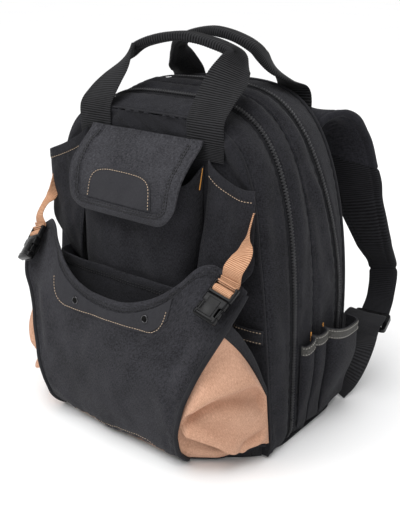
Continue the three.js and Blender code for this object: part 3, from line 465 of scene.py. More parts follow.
def join_up(name, pieces, frame_matrix, material, replaces=()):
    """Joins pieces made in their own frame and sets them in place."""
    bpy.ops.object.select_all(action="DESELECT")
    for piece in pieces:
        piece.select_set(True)
    bpy.context.view_layer.objects.active = pieces[0]
    if len(pieces) > 1:
        bpy.ops.object.join()
    obj = bpy.context.object
    obj.data.transform(frame_matrix)
    if frame_matrix.determinant() < 0:
        obj.data.flip_normals()
    finish_piece(obj, name, material, replaces)
    select_only(obj)
    bpy.ops.object.shade_smooth_by_angle(angle=math.radians(35))
    return obj


def place_matrix(origin, x, y, out, side):
    """The frame of a fitting, mirrored for the left side."""
    flip = np.array([side, 1, 1])
    columns = [x * flip, y * flip, out * flip, origin * flip * MM]
    rows = [[float(c[k]) for c in columns] for k in range(3)]
    return Matrix([*rows, [0, 0, 0, 1]])


# Threads: every stitch is a small bead of thread, laid on its cloth.

stitches = {}
HEAVY_ROW = {"pitch": 3.8, "length": 2.6, "radius": 0.5}
TAN_ROW = {"pitch": 3.3, "length": 2.2, "radius": 0.4}
LINE_POINTS = 160
LINE = np.linspace(0, 1, LINE_POINTS)


def sew(thread, points, normals, pitch=4.0, length=2.7, radius=0.42):
    """Lays a row of stitches along a line on a cloth."""
    reach = reach_along(points)
    count = max(1, int(reach[-1] / pitch))
    middles = (np.arange(count) + 0.5) * reach[-1] / count

    def read(values, places):
        return np.stack([np.interp(places, reach, values[:, k]) for k in range(3)], -1)

    n = unit(read(normals, middles))
    run = unit(read(points, middles + length / 2) - read(points, middles - length / 2))
    side = unit(np.cross(run, n))
    n = np.cross(side, run)
    row = (read(points, middles) + n * radius * 0.35, run * length / 2, side * radius, n * radius)
    stitches.setdefault(thread, []).append(row)


def sew_on(skin, thread, s, t, lift=0.0, **size):
    """A row of stitches on a cloth, through even steps of the shares s and t."""
    s = np.interp(LINE, np.linspace(0, 1, len(s)), s)
    t = np.interp(LINE, np.linspace(0, 1, len(t)), t)
    sew(thread, skin.at(s, t, lift), skin.normal(s, t), **size)


def make_stitches(name, thread, material):
    """One mesh of all the stitches of a thread."""
    bead = add_shape(bpy.ops.mesh.primitive_uv_sphere_add, segments=6, ring_count=4, radius=1)
    shape = np.array([v.co[:] for v in bead.data.vertices])
    shape = np.sign(shape) * np.abs(shape) ** 0.8
    faces = [tuple(p.vertices) for p in bead.data.polygons]
    rows = stitches[thread]
    middle, run, side, up = (np.concatenate([r[k] for r in rows]) for k in range(4))
    verts = middle[:, None] + run[:, None] * shape[None, :, 2:3]
    verts = verts + side[:, None] * shape[None, :, 0:1] + up[:, None] * shape[None, :, 1:2]
    count = len(shape)
    every = [tuple(v + k * count for v in f) for k in range(len(middle)) for f in faces]
    mesh = bpy.data.meshes.new(name)
    mesh.from_pydata((verts.reshape(-1, 3) * MM).tolist(), [], every)
    mesh.update()
    bpy.data.objects.remove(bead)
    obj = bpy.data.objects.new(name, mesh)
    bpy.context.collection.objects.link(obj)
    select_only(obj)
    bpy.ops.object.mode_set(mode="EDIT")
    bpy.ops.mesh.select_all(action="SELECT")
    bpy.ops.mesh.normals_make_consistent(inside=False)
    bpy.ops.object.mode_set(mode="OBJECT")
    return finish_piece(obj, name, material)


# Materials


class Nodes:
    """A material and short ways to add and link its shader nodes."""

    def __init__(self, name):
        self.material = bpy.data.materials.new(name)
        self.material.use_nodes = True
        self.tree = self.material.node_tree
        self.shader = self.tree.nodes["Principled BSDF"]

    def add(self, kind, inputs=None, **settings):
        node = self.tree.nodes.new(kind)
        for key, value in settings.items():
            setattr(node, key, value)
        for key, value in (inputs or {}).items():
            if hasattr(value, "is_output"):
                self.tree.links.new(value, node.inputs[key])
            else:
                node.inputs[key].default_value = value
        return node

    def math(self, kind, a, b=0.5):
        return self.add("ShaderNodeMath", {0: a, 1: b}, operation=kind).outputs[0]

    def coord(self, kind):
        return self.add("ShaderNodeTexCoord").outputs[kind]

    def noise(self, place, scale, detail=2.0, **more):
        inputs = {"Vector": place, "Scale": scale, "Detail": detail, **more}
        return self.add("ShaderNodeTexNoise", inputs).outputs["Fac"]

    def link(self, output, key):
        self.tree.links.new(output, self.shader.inputs[key])

    def set(self, key, value):
        self.shader.inputs[key].default_value = value

    def ramp(self, value, low, high, dark, light):
        node = self.add("ShaderNodeValToRGB", {0: value})
        node.color_ramp.elements[0].position = low
        node.color_ramp.elements[0].color = (*dark, 1)
        node.color_ramp.elements[1].position = high
        node.color_ramp.elements[1].color = (*light, 1)
        return node.outputs[0]


def weave_material(
    name, dark, light, thread_mm=0.9, roughness=0.9, sheen=0.04, relief=0.5, mottle=0.9, grain=1.5
):
    """Plain woven cloth: crossing threads, slubs and slow mottling."""
    m = Nodes(name)
    uv = m.coord("UV")
    place = m.coord("Object")
    split = m.add("ShaderNodeSeparateXYZ", {0: uv})
    turns = 2 * math.pi / (thread_mm * MM)
    warp = m.math("SINE", m.math("MULTIPLY", split.outputs[0], turns))
    weft = m.math("SINE", m.math("MULTIPLY", split.outputs[1], turns))
    weave = m.math("MULTIPLY", warp, weft)
    along = m.add("ShaderNodeMapping", {"Vector": uv, "Scale": (1300, 300, 1)})
    slub = m.noise(along.outputs[0], 1.0, 2.0)
    across = m.add("ShaderNodeMapping", {"Vector": uv, "Scale": (300, 1300, 1)})
    cross = m.noise(across.outputs[0], 1.0, 2.0)
    slow = m.noise(place, 30.0, 5.0, Roughness=0.65)
    slubs = m.math("SUBTRACT", m.math("ADD", slub, cross), 1.0)
    tone = m.math("ADD", m.math("MULTIPLY", slubs, grain), m.math("MULTIPLY", weave, 0.14))
    tone = m.math("ADD", tone, m.math("MULTIPLY", m.math("SUBTRACT", slow, 0.5), mottle))
    m.link(m.ramp(m.math("ADD", tone, 0.5), 0.0, 1.0, dark, light), "Base Color")
    m.link(m.math("ADD", m.math("MULTIPLY", slubs, 0.15), roughness), "Roughness")
    height = m.math("ADD", m.math("MULTIPLY", weave, 0.35), m.math("MULTIPLY", slubs, 1.6))
    bump = m.add("ShaderNodeBump", {"Height": height, "Strength": relief, "Distance": 0.0005})
    m.link(bump.outputs[0], "Normal")
    m.set("Sheen Weight", sheen)
    m.set("Sheen Roughness", 0.5)
    m.set("Specular IOR Level", 0.12)
    return m.material


def webbing_material(name, dark, light, rib_mm, roughness=0.75, contrast=0.5):
    """Ribbed webbing: picks across the band, broken by the binding threads."""
    m = Nodes(name)
    uv = m.coord("UV")
    place = m.coord("Object")
    split = m.add("ShaderNodeSeparateXYZ", {0: uv})
    rib = m.math("SINE", m.math("MULTIPLY", split.outputs[1], 2 * math.pi / (rib_mm * MM)))
    pick = m.math("SINE", m.math("MULTIPLY", split.outputs[0], 2 * math.pi / (1.6 * MM)))
    stretch = m.add("ShaderNodeMapping", {"Vector": uv, "Scale": (300, 900, 1)})
    slub = m.noise(stretch.outputs[0], 1.0, 3.0)
    slow = m.noise(place, 60.0, 3.0)
    tone = m.math(
        "ADD", m.math("MULTIPLY", rib, contrast), m.math("MULTIPLY", m.math("MULTIPLY", pick, rib), 0.1)
    )
    tone = m.math("ADD", m.math("ADD", tone, 0.5), m.math("MULTIPLY", m.math("SUBTRACT", slow, 0.5), 0.4))
    tone = m.math("ADD", tone, m.math("MULTIPLY", m.math("SUBTRACT", slub, 0.5), 0.9))
    m.link(m.ramp(tone, 0.05, 0.95, dark, light), "Base Color")
    m.link(m.math("ADD", m.math("MULTIPLY", slow, 0.1), roughness - 0.05), "Roughness")
    bump = m.add("ShaderNodeBump", {"Height": tone, "Strength": 0.5, "Distance": 0.0004})
    m.link(bump.outputs[0], "Normal")
    m.set("Sheen Weight", 0.03)
    m.set("Specular IOR Level", 0.12)
    return m.material


def thread_material(name, color):
    m = Nodes(name)
    place = m.coord("Object")
    twist = m.noise(place, 900.0, 2.0)
    dark = tuple(c * 0.6 for c in color)
    m.link(m.ramp(twist, 0.3, 0.7, dark, color), "Base Color")
    m.set("Roughness", 0.6)
    return m.material


def plastic_material(name, color, roughness, grain=0.15):
    m = Nodes(name)
    place = m.coord("Object")
    fine = m.noise(place, 2200.0, 2.0)
    slow = m.noise(place, 90.0, 3.0)
    light = tuple(c * 1.6 + 0.004 for c in color)
    m.link(m.ramp(slow, 0.3, 0.75, color, light), "Base Color")
    m.link(m.math("ADD", m.math("MULTIPLY", slow, 0.16), roughness - 0.08), "Roughness")
    bump = m.add("ShaderNodeBump", {"Height": fine, "Strength": grain, "Distance": 0.0001})
    m.link(bump.outputs[0], "Normal")
    m.set("Specular IOR Level", 0.14)
    return m.material


def metal_material(name, color, roughness):
    m = Nodes(name)
    place = m.coord("Object")
    wear = m.noise(place, 500.0, 4.0)
    m.link(m.ramp(wear, 0.3, 0.8, tuple(c * 0.6 for c in color), color), "Base Color")
    m.link(m.math("ADD", m.math("MULTIPLY", wear, 0.25), roughness - 0.1), "Roughness")
    m.set("Metallic", 1.0)
    return m.material


CANVAS_CLOTH = weave_material("black_canvas", (0.005, 0.005, 0.0062), (0.031, 0.031, 0.0365))
# Painted light: the pouch's canvas is a lighter copy of the black canvas, for its front lit by the lamps
# and the floor.
POUCH_LIT_CLOTH = weave_material("black_canvas_painted_light_pouch", (0.009, 0.009, 0.0105), (0.048, 0.0475, 0.055))
# Painted light: the flap's canvas is a lighter copy of the black canvas, for a face that turns up towards
# the lamps.
FLAP_LIT_CLOTH = weave_material("black_canvas_painted_light_flap", (0.012, 0.012, 0.014), (0.062, 0.0615, 0.07))
PATCH_CLOTH = weave_material(
    "smooth_black_cloth", (0.02, 0.02, 0.023), (0.042, 0.0415, 0.047), thread_mm=0.5, roughness=0.8,
    sheen=0.03, relief=0.3, mottle=0.5, grain=0.8
)
BINDING_CLOTH = weave_material(
    "black_binding", (0.007, 0.007, 0.008), (0.034, 0.034, 0.039), thread_mm=0.7, roughness=0.85,
    sheen=0.04, relief=0.4, mottle=0.6
)
TAN_CLOTH = weave_material(
    "tan_canvas", (0.4, 0.205, 0.125), (0.72, 0.44, 0.31), thread_mm=0.9, roughness=0.92, sheen=0.1,
    relief=0.5, mottle=0.6, grain=1.1
)
LEATHERETTE = weave_material(
    "grey_hem_tape", (0.035, 0.034, 0.032), (0.1, 0.098, 0.092), thread_mm=1.3, roughness=0.7,
    sheen=0.03, relief=0.6, mottle=0.6
)
STRAP_CLOTH = weave_material(
    "strap_cloth", (0.006, 0.006, 0.008), (0.03, 0.03, 0.036), thread_mm=0.7, roughness=0.9, sheen=0.04,
    relief=0.4, mottle=0.6
)
BLACK_WEB = webbing_material("black_webbing", (0.0008, 0.0008, 0.001), (0.03, 0.03, 0.0325), rib_mm=2.4)
SMOOTH_WEB = webbing_material(
    "smooth_black_webbing", (0.008, 0.008, 0.009), (0.036, 0.036, 0.039), rib_mm=1.9, contrast=0.3
)
TAN_WEB = webbing_material("tan_webbing", (0.26, 0.11, 0.05), (0.68, 0.4, 0.25), rib_mm=1.5, contrast=0.4)
STRAP_MESH = webbing_material(
    "strap_mesh", (0.003, 0.003, 0.0035), (0.02, 0.02, 0.023), rib_mm=2.4, roughness=0.85, contrast=0.4
)
# The back mesh is made much lighter than the canvas: painted light for the back panel, which faces away
# from the lamps.
BACK_MESH = weave_material(
    "back_mesh", (0.008, 0.008, 0.01), (0.075, 0.075, 0.082), thread_mm=2.6, roughness=0.85, sheen=0.05,
    relief=0.8, mottle=0.5, grain=0.8
)
PLASTIC = plastic_material("black_plastic", (0.003, 0.003, 0.0034), roughness=0.24)
ZIP_COIL = plastic_material("zip_coil", (0.035, 0.035, 0.037), roughness=0.3, grain=0.05)
ZIP_TAPE = weave_material(
    "zip_tape", (0.004, 0.004, 0.005), (0.022, 0.022, 0.025), thread_mm=0.7, roughness=0.85, sheen=0.03,
    relief=0.3, mottle=0.4
)
THREADS = {
    "tan": thread_material("tan_thread", (0.62, 0.47, 0.33)),
    "black": thread_material("black_thread", (0.004, 0.004, 0.0045)),
    "pale": thread_material("pale_thread", (0.42, 0.4, 0.37)),
    "orange": thread_material("orange_thread", (0.75, 0.33, 0.06)),
    "brown": thread_material("brown_thread", (0.16, 0.06, 0.035)),
}
EYELET = metal_material("eyelet_metal", (0.11, 0.11, 0.115), roughness=0.22)
# A near-black material: painted shade for the dark inside of the eyelets' holes.
HOLE_SHADE = plastic_material("eyelet_hole_painted_shade", (0.0008, 0.0008, 0.0008), roughness=0.9, grain=0.0)
SLIDER = metal_material("slider_metal", (0.06, 0.06, 0.064), roughness=0.4)


def near(value, place, width):
    """1 at a place, falling off to 0 on both sides over about a width."""
    return np.exp(-(((value - place) / width) ** 2))


# Body panels

SEAM_ROW = 4.5


def front_panel():
    top = SECTIONS["front_seam"][4] * HEIGHT

    def point(s, t):
        z = mix(FOOT, top - 2, np.sin(t * np.pi / 2) ** 1.15)
        x = (2 * s - 1) * half_width_at("front_seam", z)
        return stack(x, front_face(x, z), z)

    folds = [
        ((-48, -108, 366), (-20, -109, 346), 4, 2.2),
        ((-30, -108, 368), (4, -109, 348), 3.5, -1.8),
        ((4, -108, 368), (38, -109, 352), 3.5, 2.0),
        ((30, -108, 366), (60, -108, 356), 3.5, -1.6),
        ((-70, -108, 356), (-44, -108, 364), 4, -1.6),
        ((100, -108, 352), (146, -106, 296), 6, 2.6),
        ((92, -108, 344), (134, -106, 292), 5, -2.2),
        ((128, -106, 266), (158, -106, 238), 6, 1.8),
        ((132, -106, 250), (160, -106, 226), 5, -1.6),
        ((-100, -108, 352), (-146, -106, 300), 6, 2.2),
    ]

    def relief(s, t, p):
        side = np.minimum(s, 1 - s) * 2 * half_width_at("front_seam", p[..., 2])
        edge = np.minimum(side, (1 - t) * 300)
        gather = puckers(edge, p[..., 0] + p[..., 2], 13, 12, 0.8)
        waves = 1.0 * undulate(p, 60, 3) * ease(edge / 25)
        return waves + creases(p, folds) * ease(edge / 6) + gather

    skin = Skin(point, (0, -1, 0), relief)
    cloth("front_panel_cloth", skin, 130, 120, CANVAS, CANVAS_CLOTH, ["front_panel"])


def band(before, after, start_mm, end_mm, crown):
    """A strip between two arched sections, kept clear of them by start_mm and end_mm."""

    def point(s, t):
        a, b = arch_point(before, t), arch_point(after, t)
        z = (a[..., 2] + b[..., 2]) / 2
        span = depth_at(after, z) - depth_at(before, z)
        share = mix(start_mm / span, 1 - end_mm / span, s)[..., None]
        p = mix(a, b, share)
        out = unit(stack(p[..., 0] / HALF_WIDTH, 0, p[..., 2] / HEIGHT - 0.35))
        out[..., 2] = np.maximum(0, out[..., 2])
        p = p + out * (crown * np.sin(np.pi * s))[..., None]
        p[..., 2] = np.maximum(FOOT, p[..., 2])
        return p

    return point


def bands():
    zip_edge = ZIP_WIDTH / 2
    rows = [
        ("front_gusset", "front_seam", "front_zip", CANVAS + 0.3, zip_edge - 1.2, SIDE_CROWN, 36, 1.6, 5),
        ("mid_gusset_front", "front_zip", "middle_seam", zip_edge - 1.2, 0.15, SIDE_CROWN, 30, 1.4, 7),
        ("mid_gusset_rear", "middle_seam", "rear_zip", 0.15, zip_edge - 1.2, SIDE_CROWN, 32, 1.8, 9),
        ("rear_gusset", "rear_zip", "back_edge", zip_edge - 1.2, 0, 1, 22, 0.9, 11),
    ]
    for name, before, after, start_mm, end_mm, crown, across, sag, seed in rows:
        point = band(before, after, start_mm, end_mm, crown)
        line = np.linspace(0, 1, 400)
        reach = reach_along(point(np.full(400, 0.5), line))

        def relief(s, t, p, sag=sag, seed=seed, line=line, reach=reach, before=before, after=after):
            along = np.interp(t, line, reach)
            width = depth_at(after, p[..., 2]) - depth_at(before, p[..., 2])
            start, end = s * width, (1 - s) * width
            edge = np.minimum(start, end)
            upright = ease((340 - p[..., 2]) / 60)
            dents = np.sin(s * 7 + 2.4 * np.sin(along / 75 + seed) + seed) * 0.7 * upright
            inside = ease(edge / 12)
            rolled = -1.5 * (near(start, 0, 1.6) + near(end, 0, 1.6))
            seams = stitch_groove(start, SEAM_ROW) + stitch_groove(end, SEAM_ROW)
            if after == "middle_seam" or before == "middle_seam":
                seams = seams + stitch_groove(edge, 7.5, 0.4)
            gathers = puckers(start, along, 12, 10, 0.6) + puckers(end, along + 40, 14, 10, 0.5)
            waves = sag * (1.1 * undulate(p, 48, seed) + 0.3 * undulate(p, 20, seed) + dents)
            return waves * inside + rolled + seams + gathers

        skin = Skin(point, (0, 0, 1), relief)
        cloth(f"{name}_cloth", skin, across, 330, CANVAS, CANVAS_CLOTH, [name])
        sides = point(np.array([0.0, 1.0]), np.array([0.3, 0.3]))
        width = abs(sides[1, 1] - sides[0, 1])
        sewn = [1 - SEAM_ROW / width]
        if name != "front_gusset":
            sewn = [SEAM_ROW / width, *sewn]
        for place in sewn:
            row = np.full(LINE_POINTS, place)
            sew_on(skin, "black", row, LINE, lift=-0.2, pitch=3.6, length=2.4, radius=0.33)


def zips():
    for name, before, middle, after in [
        ("front_zip", "front_seam", "front_zip", "middle_seam"),
        ("rear_zip", "middle_seam", "rear_zip", "back_edge"),
    ]:
        def point(s, t, before=before, middle=middle, after=after):
            p = arch_point(middle, t)
            q = np.where((s < 0.5)[..., None], arch_point(before, t), arch_point(after, t))
            step = q - p
            shift = np.abs(2 * s - 1) * ZIP_WIDTH / 2
            p = p + step * (shift / np.maximum(1, np.abs(step[..., 1])))[..., None]
            p[..., 2] = np.maximum(FOOT, p[..., 2])
            return p

        skin = Skin(point, (0, 0, 1), lambda s, t, p: 0.6 - 0.9 * np.abs(2 * s - 1))
        cloth(f"{name}_tape", skin, 8, 240, 1.2, ZIP_TAPE, [name], rim=0)
        # The coil: loops of both halves meet in the middle of the tape.
        reach = reach_along(skin.at(np.full(LINE_POINTS, 0.5), LINE, 0.6))
        count = int(reach[-1] / 1.75)
        turn = np.interp((np.arange(count) + 0.5) / count * reach[-1], reach, LINE)
        normal = skin.normal(np.full(count, 0.5), turn)
        across = unit(skin.point(np.full(count, 0.6), turn) - skin.point(np.full(count, 0.4), turn))
        run = np.cross(across, normal)
        side = np.where(np.arange(count) % 2, 1, -1)[:, None]
        centre = skin.at(np.full(count, 0.5), turn, 1.5) + across * side * 0.9
        slant = unit(across + run * side * 0.25)
        stitches.setdefault("coil", []).append((centre, slant * 2.7, run * 0.82, normal * 1.0))


def seam_piping():
    for name, section, radius, rise in [
        ("front_seam_piping", "front_seam", 1.2, 0.0), ("back_seam_piping", "back_edge", 2.0, 0.4)
    ]:
        line = arch_point(section, np.linspace(0, 1, 260))
        out = unit(stack(line[:, 0] / HALF_WIDTH, 0, np.maximum(0, line[:, 2] / HEIGHT - 0.35)))
        cord_tube(name, line + out * rise + np.array([0, 0.4, 0]), radius, BINDING_CLOTH)


def back_panel():
    top = SECTIONS["back_edge"][4] * HEIGHT

    def point(s, t):
        z = mix(FOOT, top - 3, np.sin(t * np.pi / 2) ** 1.15)
        x = (2 * s - 1) * half_width_at("back_edge", z)
        inside = ease(8 * s * (1 - s)) * ease(8 * t * (1 - t))
        return stack(x, depth_at("back_edge", z) + 0.3 + mix(CANVAS, BACK_PAD, inside), z)

    def relief(s, t, p):
        x, z = p[..., 0], p[..., 2]
        channel = near(np.abs(x), 62, 3.0) + near(z, 120, 3.0) + near(z, 232, 3.0)
        return 0.5 * undulate(p, 50, 4) - 2.2 * np.minimum(channel, 1) * ease((150 - np.abs(x)) / 12)

    skin = Skin(point, (0, 1, 0), relief)
    # The pad uses the lightened back mesh: painted light on a face turned away from the lamps.
    pad = cloth("back_panel_pad", skin, 90, 96, CANVAS, BACK_MESH, ["back_panel"])


# Front pockets

ROW_HEIGHT = 137


def gusseted(s, square=6):
    """How far a boxy pocket stands out at a share across it."""
    return np.maximum(0, 1 - np.abs(2 * s - 1) ** square) ** (1 / square)


def front_pocket(name, relief, half, reach, foot, rim, rise=0, across=80, along=64):
    """A boxy pocket on the front panel, gathered at its foot; the ends of its rim stand rise mm higher."""

    def point(s, t):
        share = 0.5 - 0.5 * np.cos(np.pi * s)
        out = gusseted(share)
        depth = (reach - CANVAS) * out * mix(0.08, 1, ease(t / 0.12))
        x = (2 * share - 1) * half
        z = mix(foot, rim + rise * (1 - out), t)
        return stack(x, front_face(x, z) - SEAT - CANVAS - depth, z)

    skin = Skin(point, (0, -1, 0), relief)
    cloth(f"{name}_cloth", skin, across, along, CANVAS, CANVAS_CLOTH, [name])
    return skin


def front_pockets():
    def face(s, t, p):
        hem = 0.7 * ease((t - 0.93) / 0.012)
        return (1.4 * undulate(p, 60, 12) + 0.5 * undulate(p, 24, 14)) * ease(6 * s * (1 - s)) + hem

    pocket = front_pocket("centre_pocket", face, half=78, reach=34, foot=112, rim=304, rise=20)
    sew_on(pocket, "black", np.linspace(0.2, 0.8, 10), np.full(10, 0.92))

    def row(s, t, p):
        drop = (1 - t) * ROW_HEIGHT
        hem = 1.0 * ease((13 - drop) / 1.0) + stitch_groove(drop, 9, 0.7) + stitch_groove(drop, 12, 0.7)
        return 1.2 * undulate(p, 50, 15) + hem

    low = front_pocket("inner_pocket_row", row, half=117, reach=42, foot=62, rim=199, across=90, along=44)
    for drop in (9, 12):
        sew_on(low, "black", np.linspace(0.04, 0.96, 10), np.full(10, 1 - drop / ROW_HEIGHT), **HEAVY_ROW)
    # Bartacks at the flap pocket's top corners
    for side in (-1, 1):
        top = np.array([side * 78.5, -112.5, 322.0])
        foot = np.array([side * 78.5, -117.5, 300.0])
        points = np.linspace(foot, top, 30)
        sew("orange", points, np.tile([side * 0.9, -0.5, 0], (30, 1)), pitch=1.1, length=1.9, radius=0.7)


FLAP_HALF, FLAP_SEAM, FLAP_HEM, FLAP_REACH = 79, 350, 265, 50
FLAP_ROWS = [
    (0.0, 0.038, 1.0), (0.06, 0.1, 1.0), (0.18, 0.34, 1.0), (0.3, 0.57, 1.0), (0.42, 0.76, 1.0),
    (0.54, 0.87, 0.99), (0.66, 0.93, 0.98), (0.78, 0.97, 0.97), (0.9, 1.0, 0.96), (1.0, 0.97, 0.955),
]
FLAP_CORNER = 25
FLAP_TAPER = 0.965
FLAP_HEM_ROWS = (9.3, 12.2)


def flap_half(t):
    """Half the flap's width, with its lower corners rounded."""
    drop = np.clip((1 - t) * (FLAP_SEAM - FLAP_HEM), 0, FLAP_CORNER)
    cut = FLAP_CORNER - np.sqrt(np.maximum(0, FLAP_CORNER**2 - (FLAP_CORNER - drop) ** 2))
    return FLAP_HALF * read_table(FLAP_ROWS, t, 2) - cut


def flap_point(s, t):
    """A point of the flap at shares across it and down it."""
    t = 1 - (1 - t) ** 1.5
    x = (2 * s - 1) * flap_half(t)
    droop = 3 * np.abs(x / FLAP_HALF) ** 4 * ease(t)
    y = FRONT_Y - FRONT_CROWN - FLAP_REACH * read_table(FLAP_ROWS, t, 1) + droop
    return stack(x, y, mix(FLAP_SEAM, FLAP_HEM, t))


def flap_edge(p):
    """How far a point of the flap lies inside its cut edge, in millimetres."""
    half = FLAP_HALF * FLAP_TAPER
    side = half - np.abs(p[..., 0])
    foot = (p[..., 2] - FLAP_HEM) * 1.06
    corner = FLAP_CORNER - np.hypot(np.maximum(0, FLAP_CORNER - side), np.maximum(0, FLAP_CORNER - foot))
    return np.where((side < FLAP_CORNER) & (foot < FLAP_CORNER), corner, np.minimum(side, foot))


def flap_row(inset):
    """Points in x and z of a row that runs round the flap, inset from its edge."""
    half = FLAP_HALF * FLAP_TAPER - inset
    foot, radius = FLAP_HEM + inset, FLAP_CORNER - inset
    turn = np.linspace(0, np.pi / 2, 24)
    x = np.concatenate([np.full(40, half), half - radius + radius * np.cos(turn)])
    z = np.concatenate([
        np.linspace(FLAP_SEAM - 6, foot + radius, 40), foot + radius - radius * np.sin(turn)
    ])
    bottom = np.linspace(x[-1], -x[-1], 40)
    return np.concatenate([x, bottom, -x[::-1]]), np.concatenate([z, np.full(40, foot), z[::-1]])


def flap():
    folds = [((-70, -130, 336), (-20, -140, 318), 9, 1.4), ((20, -140, 322), (66, -135, 332), 9, -1.2)]

    def relief(s, t, p):
        edge = flap_edge(p)
        hem = 1.5 * ease((13.5 - edge) / 1.0) - 1.0 * near(edge, 14.8, 1.0)
        rows = sum(stitch_groove(edge, inset, 0.9, 0.9) for inset in FLAP_HEM_ROWS)
        gathers = puckers(edge - 14, p[..., 0] - p[..., 2], 9, 6, 0.35)
        sag = 1.5 * undulate(p, 55, 21) + 0.5 * undulate(p, 22, 23) + 1.3 * creases(p, folds)
        return hem + rows + gathers + sag * ease(edge / 14) - 0.9 * near(edge, 0, 1.5)

    skin = Skin(flap_point, (0, -1, 0.3), relief)
    # The flap's cloth is the lighter copy of the black canvas: painted light on its upturned face.
    piece = cloth("flap_cloth", skin, 150, 120, CANVAS, FLAP_LIT_CLOTH, ["flap"])
    for inset in FLAP_HEM_ROWS:
        x, z = flap_row(inset)
        s, t = flap_share(x, z)
        sew_on_path(skin, "black", s, t, lift=0.5, pitch=3.8, length=2.6, radius=0.55)

    def patch(s, t):
        across = (2 * s - 1) * 47 * (1 - (0.985 * t) ** 4) ** 0.4
        share, down = flap_share(across, mix(FLAP_HEM + 15, FLAP_HEM + 50, t))
        return skin.at(share, down, 0.9)

    panel = Skin(patch, (0, -1, 0.3), lambda s, t, p: 0.1 * undulate(p, 40, 5))
    cover = cloth(
        "flap_patch_cloth", panel, 60, 40, 1, PATCH_CLOTH, ["flap_patch"], rim=0.3
    )
    turn = np.linspace(0, np.pi, 90)
    x = 44.5 * np.sign(np.cos(turn)) * np.abs(np.cos(turn)) ** 0.55
    z = FLAP_HEM + 16 + 31 * np.sin(turn) ** 0.5
    share, down = flap_share(x, z)
    sew_on_path(skin, "tan", share, down, lift=1.5, **TAN_ROW)
    flat, area = lay_flat(skin)


def flap_share(x, z):
    """The shares across and down the flap where it has the place x, z."""
    t = (FLAP_SEAM - np.asarray(z, float)) / (FLAP_SEAM - FLAP_HEM)
    s = 0.5 + np.asarray(x, float) / np.maximum(flap_half(t), 1) / 2
    return s, 1 - np.maximum(1 - t, 0) ** (1 / 1.5)


def lay_flat(skin):
    """The width, length and area in metres of a cloth that is taken off and laid flat."""
    count = 60
    line = np.linspace(0, 1, count)
    s, t = np.meshgrid(line, line, indexing="ij")
    places = skin.point(s.ravel(), t.ravel()).reshape(count, count, 3)
    across, along = np.diff(places, axis=0), np.diff(places, axis=1)
    width = np.linalg.norm(across, axis=2).sum(0).max()
    length = np.linalg.norm(along, axis=2).sum(1).max()
    area = np.linalg.norm(np.cross(across[:, :-1], along[:-1]), axis=2).sum()
    return (width * MM, length * MM), area * MM * MM


def sew_on_path(skin, thread, s, t, lift=0.0, **size):
    """A row of stitches along many points of a cloth's skin."""
    sew(thread, skin.at(s, t, lift), skin.normal(s, t), **size)


WING_INNER, WING_OUTER, WING_RIM, WING_CORNER, WING_FOOT, WING_REACH = 87, 149, 332, 311, 168, 24
WING_HEIGHT, WING_ROW, WING_LIFT_LEFT = 155, 12.4, 14
WING_ROWS = [
    (0.0, 0.0, 0.0, 0.0, 0.3), (0.1, 0.9, 0.7, 0.3, 0.38), (0.24, 1.0, 0.8, 0.42, 0.68),
    (0.41, 0.8, 0.72, 0.5, 1.0), (0.6, 0.45, 0.6, 0.48, 1.0), (0.82, 0.22, 0.5, 0.5, 1.0),
    (1.0, 0.2, 0.42, 0.5, 1.0),
]


def wing_point(s, t, lift):
    """A point of the right wing pocket's face, with its rim raised by lift."""
    inner, middle, outer, width = (read_table(WING_ROWS, t, k) for k in (1, 2, 3, 4))
    x = mix(WING_INNER, mix(WING_INNER, WING_OUTER, width), s)
    dip = (5 - 5 * lift / WING_LIFT_LEFT) * np.sin(np.pi * s) ** 0.8
    rim = mix(WING_RIM + lift, WING_CORNER, s**0.7) - dip
    z = mix(WING_FOOT, rim, t)
    out = (1 - s) ** 2 * inner + 2 * s * (1 - s) * (2 * middle - (inner + outer) / 2) + s**2 * outer
    return stack(x, front_face(x, z) - SEAT - CANVAS - (WING_REACH - CANVAS) * np.maximum(0, out), z)


def mirrored(point, side, *more):
    """The same surface, mirrored where side is -1."""

    def turned(s, t):
        p = point(s, t, *more)
        p[..., 0] = p[..., 0] * side
        return p

    return turned


def wings():
    for name, side in SIDES:
        folds = [
            ((side * 96, -125, 250), (side * 110, -120, 190), 7, 1.6),
            ((side * 120, -118, 300), (side * 112, -120, 240), 8, -1.3),
        ]

        def relief(s, t, p, folds=folds):
            drop = (1 - t) * WING_HEIGHT
            hem = 0.9 * ease((13.5 - drop) / 1.2) + stitch_groove(drop, WING_ROW, 0.5)
            edge = np.minimum(s, 1 - s) * 60
            gathers = puckers(drop - 13, p[..., 0], 9, 8, 0.4)
            body = 1.6 * undulate(p, 45, 31) + 0.5 * undulate(p, 20, 33) + 1.3 * creases(p, folds)
            return hem + gathers + body * ease(edge / 10) - 0.8 * near(edge, 0, 1.5)

        skin = Skin(mirrored(wing_point, side, 0 if side > 0 else WING_LIFT_LEFT), (0, -1, 0), relief)
        cloth(
            f"wing_pocket_{name}_cloth", skin, 64, 110, CANVAS, CANVAS_CLOTH, [f"wing_pocket_{name}"],
        )
        row = 1 - WING_ROW / WING_HEIGHT
        sew_on(skin, "tan", np.linspace(0.03, 0.97, 20), np.full(20, row), **TAN_ROW)
        sew_on(
            skin, "black", np.full(20, 0.05), np.linspace(0.02, row, 20), pitch=3.6, length=2.4,
            radius=0.4
        )


# Apron pouch

